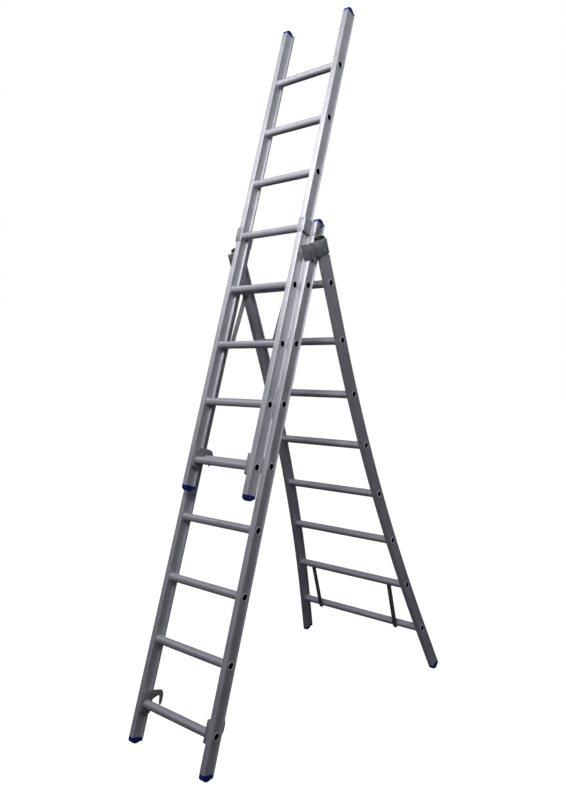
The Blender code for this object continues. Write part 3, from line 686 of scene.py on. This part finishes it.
def crowned_block(x0, x1, y0, end, up, side_height, crown, edge):
    """Block over a stile's end, from y0 to the rear, under the arc of the whole cap."""
    half_chord = (STILE_FRONT + STILE_REAR) / 2
    middle = (STILE_REAR - STILE_FRONT) / 2
    rise = crown - side_height
    radius = (half_chord ** 2 + rise ** 2) / (2 * rise)
    finish = math.degrees(math.asin(half_chord / radius))
    start = math.degrees(math.asin((y0 - middle) / radius))
    curve = arc(middle, crown - radius, radius, 90 - finish, 90 - start, CROWN_STEPS)
    outline = [(y0, GAP), (STILE_REAR, GAP), *curve]
    bm = facing_x(prism([(y, end + up * z) for y, z in outline], (x0, x1)))
    return bevelled(bm, edge, segments=4, angle=30.0)


def above_floor(bm, section):
    """Cuts a piece in a section's frame off at the floor, and closes the cut."""
    to_section = FRAMES[section].inverted()
    normal = (to_section.to_3x3() @ Vector((0.0, 0.0, 1.0))).normalized()
    result = bmesh.ops.bisect_plane(bm, geom=[*bm.verts, *bm.edges, *bm.faces], dist=WELD,
                                    plane_co=to_section.translation, plane_no=normal,
                                    clear_inner=True)
    edges = [e for e in result["geom_cut"] if isinstance(e, bmesh.types.BMEdge)]
    bmesh.ops.contextual_create(bm, geom=edges)


def cap(section, kind, word, side, mat):
    """Moulded end: a rim against the metal, straight sides and a crowned end."""
    low, high = LENGTHS[section]
    up = 1 if kind == "top_cap" else -1
    end = high if up > 0 else low
    side_height, crown = BLACK_CAP_SHAPE if mat is BLACK else CAP_SHAPES[kind]
    outer = WIDTH[section] / 2
    inner = outer - STILE_THICK
    start = end + up * GAP
    extras = [rounded_block(inner - RIM_PROUD, outer + RIM_PROUD, -STILE_FRONT - RIM_PROUD,
                            STILE_REAR, start, end + up * RIM_HIGH, RIM_CORNER, RIM_EDGE)]
    if mat is not BLACK:
        wings = ((inner - INNER_LIP, inner + WING_OVERLAP, INNER_LIP_START, LIP_WING_EDGE),
                 (outer - WING_OVERLAP, outer + OUTER_FLANGE, OUTER_FLANGE_START,
                  FLANGE_WING_EDGE))
        for x0, x1, y0, edge in wings:
            extras.append(rounded_block(x0, x1, y0, STILE_REAR - WING_STEP,
                                        start + up * WING_STEP,
                                        end + up * (side_height - WING_LOWER), edge, edge))
    crowned = crowned_block(inner, outer, -STILE_FRONT, end, up, side_height, crown, CROWN_EDGE)
    bm = cut(crowned, extras, "UNION")
    if kind == "foot":
        if section == "rear":
            spread(bm)
        above_floor(bm, section)
    name = f"{section}_{kind}_{word}"
    mesh = mesh_from(mirror(bm, side), name, 40.0)
    piece(name + "_moulding", mesh, section, [mat], name)


# ---------------------------------------------------------------- hooks
def smooth_outline(points, sharp, rounds=3):
    """Closed outline whose corners are cut again and again, apart from the sharp ones."""
    outline = [(Vector(point), i in sharp) for i, point in enumerate(points)]
    for _ in range(rounds):
        finer = []
        for i, (point, keep) in enumerate(outline):
            if keep:
                finer.append((point, True))
                continue
            before = outline[i - 1][0]
            after = outline[(i + 1) % len(outline)][0]
            finer.append((point.lerp(before, 0.25), False))
            finer.append((point.lerp(after, 0.25), False))
        outline = finer
    return [(point.x, point.y) for point, _ in outline]


HOOK_SETBACK = 0.0002
HOOK_FRONT = -STILE_FRONT + HOOK_SETBACK
HOOK_PLATE = 0.0040
HOOK_EDGE = 0.0008
HOOK_RIVET = (-0.0080, 0.0500)
HOOK_RIVET_RADIUS = 0.0042
# The boss between plate and stile: its ends inside the plate's, and its overlap with it.
BOSS_ABOVE = 0.0100
BOSS_BELOW = 0.0010
BOSS_OVERLAP = 0.0020
BOSS_EDGE = 0.0012
# The hole round the rung is a little larger than its tread and has a third of its points.
HOLE_GROWTH = 1.03
HOLE_EVERY = 3
HOLE_PAST = 0.0100
# Outlines of the plates as (y, z), and the corners that stay sharp.
MIDDLE_HOOK = [(HOOK_FRONT, -0.034), (0.012, -0.045), (0.0275, -0.042), (0.0275, 0.018),
               (0.060, 0.034), (0.0665, 0.029), (0.0705, 0.006), (0.0735, -0.009),
               (0.0800, -0.012), (0.0865, -0.007), (0.0885, 0.020), (0.0855, 0.042),
               (0.0750, 0.056), (0.060, 0.0585), (HOOK_FRONT, 0.0575)]
MIDDLE_HOOK_SHARP = (0, 1, 2, 3, 14)
UPPER_HOOK = [(HOOK_FRONT, -0.036), (0.010, -0.042), (0.0277, -0.034), (0.0277, 0.0331),
              (0.0677, 0.0331), (0.0687, 0.000), (0.0725, -0.014), (0.0795, -0.016),
              (0.0860, -0.008), (0.0885, 0.030), (0.0860, 0.048), (0.0760, 0.058),
              (0.0600, 0.0615), (0.035, 0.0615), (HOOK_FRONT, 0.0560)]
UPPER_HOOK_SHARP = (0, 1, 2, 3, 4, 14)


def hook(section, word, side, outline, sharp):
    """Cast hook on the inner face of a stile, with its boss round the lowest rung."""
    inner = WIDTH[section] / 2 - STILE_THICK - GAP
    boss_end = inner - INNER_LIP
    plate_end = boss_end - HOOK_PLATE
    blade = facing_x(prism(smooth_outline(outline, sharp), (plate_end, boss_end)))
    bevelled(blade, HOOK_EDGE)
    low = min(z for y, z in outline if y < INNER_LIP_START) + BOSS_ABOVE
    high = min(outline[-1][1], outline[-2][1]) - BOSS_BELOW
    boss = box((boss_end - BOSS_OVERLAP, HOOK_FRONT, low),
               (inner, INNER_LIP_START - GAP, high))
    bevelled(boss, BOSS_EDGE)
    ring = [(y * HOLE_GROWTH, z * HOLE_GROWTH) for y, z in body_ring(0.0, False)]
    hole = facing_x(prism(ring[::HOLE_EVERY], (plate_end - HOLE_PAST, inner + HOLE_PAST)))
    bm = cut(blade, [boss], "UNION")
    bm = cut(bm, [hole])
    name = f"{section}_hook_{word}"
    mesh = mesh_from(mirror(bm, side), name, 32.0)
    piece(name + "_casting", mesh, section, [CASTING], name)
    rivet(f"{name}_rivet_1", section, side * plate_end, -side, *HOOK_RIVET, HOOK_RIVET_RADIUS)


# ---------------------------------------------------------------- rivets and bolts
# Domed head with a dimple, as parts of its radius and of its height.
RIVET_PROFILE = ((1.0, 0.0), (0.96, 0.30), (0.82, 0.62), (0.55, 0.88), (0.34, 0.97),
                 (0.30, 0.72), (0.12, 0.68))
RIVET_RISE = 0.0018
# Washer and bolt's end: radius as a part of the width across flats, and distance outwards.
WASHER_PROFILE = ((0.62, 0.0), (0.62, 0.0009), (0.55, 0.0011))
BOLT_END_PROFILE = ((0.27, 0.0), (0.27, 0.0010), (0.20, 0.0016))
WASHER_HIGH = 0.0011
CHAMFER_HIGH = 0.0006
CHAMFER_SHARE = 0.88
HEXAGON = 6


def rivet(name, section, x, outwards, y, z, radius, rise=RIVET_RISE):
    """Domed rivet head on a face at x, standing out along outwards."""
    profile = [(radius * share, x + outwards * rise * part) for share, part in RIVET_PROFILE]
    mesh = mesh_from(turned(profile, y, z), name, 50.0)
    piece(name, mesh, section, [RIVET_METAL])


def hex_bolt(name, section, x, outwards, y, z, across, thick, mat, node=None):
    """Hexagon head or nut with a chamfered face, its washer and the bolt's end."""
    def turned_part(profile, seat):
        turned([(across * share, x + outwards * (seat + d)) for share, d in profile], y, z,
               bm=bm)

    bm = bmesh.new()
    turned_part(WASHER_PROFILE, 0.0)
    radius = across / math.sqrt(3)
    levels = ((1.0, WASHER_HIGH), (1.0, thick - CHAMFER_HIGH), (CHAMFER_SHARE, thick))
    rings = [[(x + outwards * d, u, v) for u, v in round_points(radius * share, HEXAGON, y, z)]
             for share, d in levels]
    close_ends(bm, loft(bm, rings))
    turned_part(BOLT_END_PROFILE, thick)
    piece(name, mesh_from(bm, name, 30.0), section, [mat], node)


# ---------------------------------------------------------------- guides and hinge brackets
def strip(path, thick, low, high, steps=5):
    """Bent sheet: a path in plan with rounded bends, between two heights."""
    line = [Vector(p) for p in filleted(path, steps, closed=False)]
    left, right = [], []
    for i, point in enumerate(line):
        before = (point - line[i - 1]).normalized() if i > 0 else None
        after = (line[i + 1] - point).normalized() if i < len(line) - 1 else None
        first = before or after
        second = after or before
        normal = Vector((-first.y - second.y, first.x + second.x)).normalized()
        reach = thick / 2 / normal.dot(Vector((-first.y, first.x)))
        left.append(point + normal * reach)
        right.append(point - normal * reach)
    outline = [(p.x, p.y) for p in left + right[::-1]]
    return prism(outline, (low, high))


GUIDE_SHEET = 0.0020
GUIDE_EDGE = 0.0005
# Heights over the middle section's highest rung.
GUIDE_LOW = 0.2320
GUIDE_HIGH = 0.3010
GUIDE_BOLT = 0.2880
GUIDE_REAR = 0.0210
GUIDE_PLAY = 0.0006
GUIDE_RETURN = 0.0045
# Radii of the bends: at the middle stile, round the upper stile and into the return.
GUIDE_BEND = 0.0022
GUIDE_FACE_BEND = 0.0030
GUIDE_RETURN_BEND = 0.0020
GUIDE_SLOPE_PAST = 0.0100
GUIDE_HEAD_SEAT = 0.0023
GUIDE_NUT_ACROSS = 0.0100
GUIDE_NUT_THICK = 0.0042


def guide(word, side):
    """Sheet bolted to a middle stile, which wraps round the front of the upper one.

    Its lower edge slopes where it lies over the middle stile.
    """
    middle = WIDTH["middle"] / 2
    upper = WIDTH["upper"] / 2
    clear = GAP + GUIDE_SHEET / 2
    wing = middle + clear
    cheek = upper + OUTER_FLANGE + GUIDE_PLAY + clear
    face = -PLANE_SPACING - STILE_FRONT - clear
    front = -STILE_FRONT - clear
    inner = upper - STILE_THICK - clear
    path = [(wing, GUIDE_REAR, 0), (wing, front, GUIDE_BEND), (cheek, front, GUIDE_BEND),
            (cheek, face, GUIDE_FACE_BEND), (inner, face, GUIDE_RETURN_BEND),
            (inner, face + GUIDE_RETURN, 0)]
    low = RUNG_RUN + GUIDE_LOW
    high = RUNG_RUN + GUIDE_HIGH
    bm = strip(path, GUIDE_SHEET, low, high)
    bevelled(bm, GUIDE_EDGE, 2)
    rise = math.tan(LEAN_REAR - LEAN_FRONT)
    start = -STILE_FRONT
    back = GUIDE_REAR + GUIDE_SLOPE_PAST
    below = low - CUT_PAST
    wedge = [(start, below), (back, below), (back, low + (back - start) * rise)]
    slope_cut = facing_x(prism(wedge, (middle + CUT_SKIN, middle + CUT_REACH)))
    bm = cut(bm, [slope_cut])
    name = f"guide_{word}"
    mesh = mesh_from(mirror(bm, side), name, 32.0)
    piece(name + "_sheet", mesh, "middle", [ZINC], name)
    height = RUNG_RUN + GUIDE_BOLT
    hex_bolt(f"guide_bolt_{word}_head", "middle", side * (middle + GUIDE_HEAD_SEAT), side,
             0.0, height, GUIDE_NUT_ACROSS, GUIDE_NUT_THICK, BOLT_STEEL,
             f"guide_bolt_{word}")
    hex_bolt(f"guide_bolt_{word}_nut", "middle", side * (middle - STILE_THICK), -side,
             0.0, height, GUIDE_NUT_ACROSS, GUIDE_NUT_THICK, ZINC)


BRACKET = 0.0030
BRACKET_EDGE = 0.0007
BRACKET_LOW = 0.0080
BRACKET_HIGH = 0.0780
BRACKET_REAR = 0.0830
BRACKET_FRONT = -0.0318
BRACKET_PLAY = 0.0007
BRACKET_TIP_PLAY = 0.0014
# The crank's two bends, by their distance ahead of the rear stile's front, and radii.
CRANK_START = 0.0010
CRANK_END = 0.0150
CRANK_BEND = 0.0090
TIP_BEND = 0.0035
EAR_RADIUS = 0.0105
EAR_STEPS = 16
EAR_REAR = 0.0085
EAR_STEP = 0.0110
EAR_TOP = 0.0300
RIVET_HEIGHTS = (0.0276, 0.0700)
BRACKET_RIVET_RADIUS = 0.0045
BRACKET_RIVET_RISE = 0.0022


def bracket(word, side):
    """Hinge plate, cranked in from the rear stile to the middle one. Drawn about the axis."""
    outer = WIDTH["rear"] / 2 + GAP + BRACKET / 2
    cheek = WIDTH["middle"] / 2 + OUTER_FLANGE + BRACKET_PLAY + BRACKET / 2
    front_of_stile = PLANE_SPACING - STILE_FRONT
    tip = WIDTH["upper"] / 2 + OUTER_FLANGE + BRACKET_TIP_PLAY
    path = [(outer, BRACKET_REAR, 0), (outer, front_of_stile - CRANK_START, CRANK_BEND),
            (cheek, front_of_stile - CRANK_END, CRANK_BEND), (cheek, BRACKET_FRONT, TIP_BEND),
            (tip, BRACKET_FRONT, 0)]
    bm = strip(path, BRACKET, BRACKET_LOW, BRACKET_HIGH, 7)
    bevelled(bm, BRACKET_EDGE, 2)
    ear = arc(0.0, 0.0, EAR_RADIUS, 180, 360, EAR_STEPS)
    ear += [(EAR_REAR, EAR_STEP), (EAR_REAR, EAR_TOP), (-EAR_RADIUS, EAR_TOP)]
    ear_plate = facing_x(prism(ear, (cheek - BRACKET / 2, cheek + BRACKET / 2)))
    bm = cut(bm, [ear_plate], "UNION")
    bmesh.ops.translate(bm, verts=bm.verts, vec=(0.0, -PLANE_SPACING, 0.0))
    name = f"hinge_bracket_{word}"
    mesh = mesh_from(mirror(bm, side), name, 32.0)
    piece(name + "_plate", mesh, "rear", [DARK_STEEL], name)
    for index, z in enumerate(RIVET_HEIGHTS, 1):
        rivet(f"{name}_rivet_{index}", "rear", side * (outer + BRACKET / 2), side, 0.0, z,
              BRACKET_RIVET_RADIUS, BRACKET_RIVET_RISE)


BOLT_SHANK = 0.0045
BOLT_SPACER = 0.0095
# Head: radius, and distance out from the bracket's plate.
BOLT_HEAD = ((0.0080, GAP), (0.0079, 0.0010), (0.0066, 0.0019), (0.0040, 0.0023))
HINGE_NUT_ACROSS = 0.0130
HINGE_NUT_THICK = 0.0058


def hinge_bolt(word, side):
    """Bolt through a middle stile: a spacer, the bracket's ear, then its head."""
    outer = WIDTH["middle"] / 2
    inner = outer - STILE_THICK
    plate_in = outer + OUTER_FLANGE + BRACKET_PLAY
    plate_out = plate_in + BRACKET
    z = RUNG_RUN + PIVOT_ABOVE
    profile = [(BOLT_SHANK, inner - GAP), (BOLT_SHANK, outer + GAP), (BOLT_SPACER, outer + GAP),
               (BOLT_SPACER, plate_in - GAP), (BOLT_SHANK, plate_in - GAP),
               (BOLT_SHANK, plate_out + GAP)]
    profile += [(radius, plate_out + out) for radius, out in BOLT_HEAD]
    bm = turned([(radius, side * x) for radius, x in profile], 0.0, z, 40)
    name = f"hinge_bolt_{word}"
    piece(name + "_pin", mesh_from(bm, name, 40.0), "middle", [ZINC], name)
    hex_bolt(name + "_nut", "middle", side * inner, -side, 0.0, z, HINGE_NUT_ACROSS,
             HINGE_NUT_THICK, ZINC)


# ---------------------------------------------------------------- stay bars
STAY_ACROSS = {"middle": 0.1295, "rear": 0.2580}
STAY_WIDTH = 0.0270
STAY_THICK = 0.0040
STAY_KNEE = 0.0220
STAY_BEND = 0.0600
STAY_END = 0.0175
STAY_EDGE = 0.0012
KNOB_RADIUS = 0.0120
KNOB_ROOT = 0.0010
KNOB_SIDES = 32
# Distance of the knob's centre below the rung's.
KNOB_DROP = 0.0070
# Knob: radius as a part of the largest, and distance out from the bar's face.
KNOB_PROFILE = ((1.0, 0.0020), (0.94, 0.0034), (0.74, 0.0042), (0.40, 0.0045))


def stay(section, word, side, lower_z):
    """Flat bar from under one rung to the front of the one below, with a round knob."""
    x = side * STAY_ACROSS[section]
    ring = body_ring(0.0, False)
    front = min(y for y, z in ring) - GAP
    under = min(ring, key=lambda point: point[1])
    top = RUNG_PITCH + under[1] - GAP
    middle = front - STAY_THICK / 2
    path = [(under[0], top, 0), (middle, STAY_KNEE, STAY_BEND), (middle, -STAY_END, 0)]
    blade = facing_x(strip(path, STAY_THICK, x - STAY_WIDTH / 2, x + STAY_WIDTH / 2, 6))
    bevelled(blade, STAY_EDGE, 3)
    face = front - STAY_THICK
    levels = [(1.0, front - KNOB_ROOT)] + [(share, face - out) for share, out in KNOB_PROFILE]
    rings = [[(u, y, v) for u, v in round_points(KNOB_RADIUS * share, KNOB_SIDES, x, -KNOB_DROP)]
             for share, y in levels]
    knob = bmesh.new()
    close_ends(knob, loft(knob, rings))
    bmesh.ops.recalc_face_normals(knob, faces=knob.faces)
    bm = cut(blade, [knob], "UNION")
    bmesh.ops.translate(bm, verts=bm.verts, vec=(0.0, 0.0, lower_z))
    name = f"{section}_stay_{word}"
    piece(name + "_bar", mesh_from(bm, name), section, [STAY_STEEL], name)


# ---------------------------------------------------------------- buffers
BUFFER_THICK = 0.0032
BUFFER_WIDTH = 0.0380
BUFFER_HEIGHTS = (0.2340, 0.2920)
BUFFER_SETBACK = 0.0005
BUFFER_CORNER = 0.0040
BUFFER_EDGE = 0.0009
# Grooves across the strip, which leave its ribs standing.
BUFFER_RIBS = 8
BUFFER_GROOVE_INSET = 0.0040
BUFFER_GROOVE_DEEP = 0.0006
BUFFER_GROOVE_HALF = 0.0012


def buffer(word, side):
    """Strip of soft plastic on the rear of a middle stile, with ribs across it."""
    outer = WIDTH["middle"] / 2 - BUFFER_SETBACK
    inner = outer - BUFFER_WIDTH
    near = STILE_REAR + GAP
    far = near + BUFFER_THICK
    low, high = (RUNG_RUN + height for height in BUFFER_HEIGHTS)
    corners = ((inner, low), (outer, low), (outer, high), (inner, high))
    outline = filleted([(*corner, BUFFER_CORNER) for corner in corners], 5)
    bm = prism(outline, (-far, -near))
    bmesh.ops.transform(bm, matrix=Matrix.Rotation(math.pi / 2, 4, "X"), verts=bm.verts)
    bevelled(bm, BUFFER_EDGE, 3)
    left = inner + BUFFER_GROOVE_INSET
    right = outer - BUFFER_GROOVE_INSET
    grooves = []
    for i in range(1, BUFFER_RIBS):
        z = low + (high - low) * i / BUFFER_RIBS
        grooves.append(box((left, far - BUFFER_GROOVE_DEEP, z - BUFFER_GROOVE_HALF),
                           (right, far + CUT_PAST, z + BUFFER_GROOVE_HALF)))
    name = f"buffer_{word}"
    mesh = mesh_from(mirror(cut(bm, grooves), side), name, 40.0)
    piece(name + "_strip", mesh, "middle", [BLACK], name)


# ---------------------------------------------------------------- assembly
CAPS = (("upper", "top_cap", BLUE, "blue_plastic"), ("upper", "bottom_cap", BLUE, "blue_plastic"),
        ("middle", "top_cap", BLUE, "blue_plastic"), ("middle", "foot", BLUE, "blue_plastic"),
        ("rear", "top_cap", BLACK, "black_plastic"), ("rear", "foot", BLUE, "blue_plastic"))
# Rivets of the lower caps and feet, as (section, y, z).
CAP_RIVETS = (("upper", -0.0060, -0.1110), ("middle", -0.0060, -0.1370),
              ("rear", 0.0, LENGTHS["rear"][0] + 0.0120))
CAP_RIVET_RADIUS = 0.0030
CAP_RIVET_RISE = 0.0012


def cap_rivet(section, word, side, y, z):
    """Rivet through the inner face of a stile that keeps the cap's plug in it."""
    inner = half_width(section, z) - STILE_THICK
    rivet(f"{section}_cap_rivet_{word}", section, side * inner, -side, y, z,
          CAP_RIVET_RADIUS, CAP_RIVET_RISE)


def build_ladder():
    for section in SECTIONS:
        for word, side in SIDES:
            stile(section, word, side)
        for number in range(1, RUNG_COUNT + 1):
            rung(section, number)
    for word, side in SIDES:
        for section, kind, mat, slot in CAPS:
            cap(section, kind, word, side, mat)
        hook("upper", word, side, UPPER_HOOK, UPPER_HOOK_SHARP)
        hook("middle", word, side, MIDDLE_HOOK, MIDDLE_HOOK_SHARP)
        guide(word, side)
        bracket(word, side)
        hinge_bolt(word, side)
        stay("middle", word, side, RUNG_PITCH * (RUNG_COUNT - 2))
        stay("rear", word, side, rear_rung_z(RUNG_COUNT))
        buffer(word, side)
        for section, y, z in CAP_RIVETS:
            cap_rivet(section, word, side, y, z)


build_ladder()


# ---------------------------------------------------------------- stage, light and camera
# Radius, grey and glow of the floor and of the surround, which has no grey.
FLOOR_RADIUS = 38.0
FLOOR_GREY = 0.30
FLOOR_GLOW = 0.97
SURROUND_RADIUS = 40.0
SURROUND_GLOW = 1.0
# Brightness of the world from straight below (0) to straight above (1).
SKY = [(0.0, (0.036, 0.036, 0.040)), (0.40, (0.036, 0.036, 0.041)),
       (0.52, (0.061, 0.062, 0.073)), (0.66, (0.125, 0.125, 0.143)),
       (0.80, (0.190, 0.190, 0.213)), (1.0, (0.220, 0.220, 0.240))]
# Two softboxes high in front, which light the ladder's top most, and a weak one at the
# side: name, place, point aimed at, width and height, power and colour.
LIGHTS = (("key", (1.1, -2.5, 3.9), (0.0, -0.1, 2.6), (1.1, 1.1), 52.0, (0.96, 0.97, 1.0)),
          ("front", (-0.4, -1.5, 3.75), (0.0, 0.0, 2.6), (0.9, 1.2), 22.0, (1.0, 0.99, 0.98)),
          ("side_fill", (3.2, 0.9, 3.9), (0.2, 0.0, 2.4), (1.4, 1.4), 12.0, (0.97, 0.97, 1.0)))
# Angles in degrees, lens and sensor in millimetres.
CAMERA_PLACE = (2.1003, -2.6259, 1.6446)
CAMERA_HEADING = 38.366
CAMERA_PITCH = -4.071
CAMERA_ROLL = 0.745
CAMERA_LENS = 30.33
CAMERA_SENSOR = 36.0
CAMERA_SHIFT = (-0.0106, 0.0265)
CAMERA_REACH = 200.0


def plain_material(name, grey, emission):
    """Matt grey paint that glows white."""
    mat, nodes, _ = node_material(name)
    shader = nodes["Principled BSDF"]
    shader.inputs["Base Color"].default_value = (grey, grey, grey, 1.0)
    shader.inputs["Roughness"].default_value = 0.9
    shader.inputs["Emission Color"].default_value = (1.0, 1.0, 1.0, 1.0)
    shader.inputs["Emission Strength"].default_value = emission
    return mat


def stage_object(name, bm, mat):
    """Background that the ladder doesn't mirror."""
    mesh = bpy.data.meshes.new(name)
    bm.to_mesh(mesh)
    bm.free()
    mesh.materials.append(mat)
    obj = bpy.data.objects.new(name, mesh)
    bpy.context.scene.collection.objects.link(obj)
    obj.visible_diffuse = False
    obj.visible_glossy = False
    return obj


def build_stage():
    """Pale floor and a white surround. The metal mirrors the softer light of the world."""
    bm = bmesh.new()
    bmesh.ops.create_circle(bm, cap_ends=True, segments=96, radius=FLOOR_RADIUS)
    stage_object("floor", bm, plain_material("floor_paint", FLOOR_GREY, FLOOR_GLOW))
    bm = bmesh.new()
    bmesh.ops.create_uvsphere(bm, u_segments=64, v_segments=32, radius=SURROUND_RADIUS)
    surround = stage_object("surround", bm,
                            plain_material("surround_paint", 0.0, SURROUND_GLOW))
    surround.visible_shadow = False
    surround.visible_transmission = False


def build_world():
    """Studio light: bright overhead, darker round the sides and below."""
    world = bpy.data.worlds.new("studio")
    bpy.context.scene.world = world
    world.use_nodes = True
    nodes, links = world.node_tree.nodes, world.node_tree.links
    place = nodes.new("ShaderNodeTexCoord")
    split = nodes.new("ShaderNodeSeparateXYZ")
    links.new(place.outputs["Generated"], split.inputs[0])
    height = nodes.new("ShaderNodeMapRange")
    height.inputs["From Min"].default_value = -1.0
    links.new(split.outputs["Z"], height.inputs["Value"])
    sky = ramp(nodes, links, height.outputs["Result"], SKY)
    links.new(sky, nodes["Background"].inputs["Color"])


def area_light(name, place, target, size, energy, colour):
    """Softbox aimed at a point."""
    data = bpy.data.lights.new(name, "AREA")
    data.shape = "RECTANGLE"
    data.size, data.size_y = size
    data.energy = energy
    data.color = colour
    obj = bpy.data.objects.new(name, data)
    bpy.context.scene.collection.objects.link(obj)
    obj.location = place
    obj.rotation_euler = (Vector(target) - Vector(place)).to_track_quat("-Z", "Y").to_euler()


def build_camera():
    """Camera at about half the height of the ladder, in front of it and to its right."""
    data = bpy.data.cameras.new("camera")
    camera = bpy.data.objects.new("camera", data)
    bpy.context.scene.collection.objects.link(camera)
    tilt = math.pi / 2 + math.radians(CAMERA_PITCH)
    camera.matrix_world = (Matrix.Translation(CAMERA_PLACE)
                           @ Matrix.Rotation(math.radians(CAMERA_HEADING), 4, "Z")
                           @ Matrix.Rotation(tilt, 4, "X")
                           @ Matrix.Rotation(math.radians(CAMERA_ROLL), 4, "Z"))
    data.sensor_width = CAMERA_SENSOR
    data.lens = CAMERA_LENS
    data.shift_x, data.shift_y = CAMERA_SHIFT
    data.clip_end = CAMERA_REACH
    bpy.context.scene.camera = camera


build_stage()
build_world()
for light in LIGHTS:
    area_light(*light)
build_camera()
bpy.context.scene.view_settings.view_transform = "Standard"
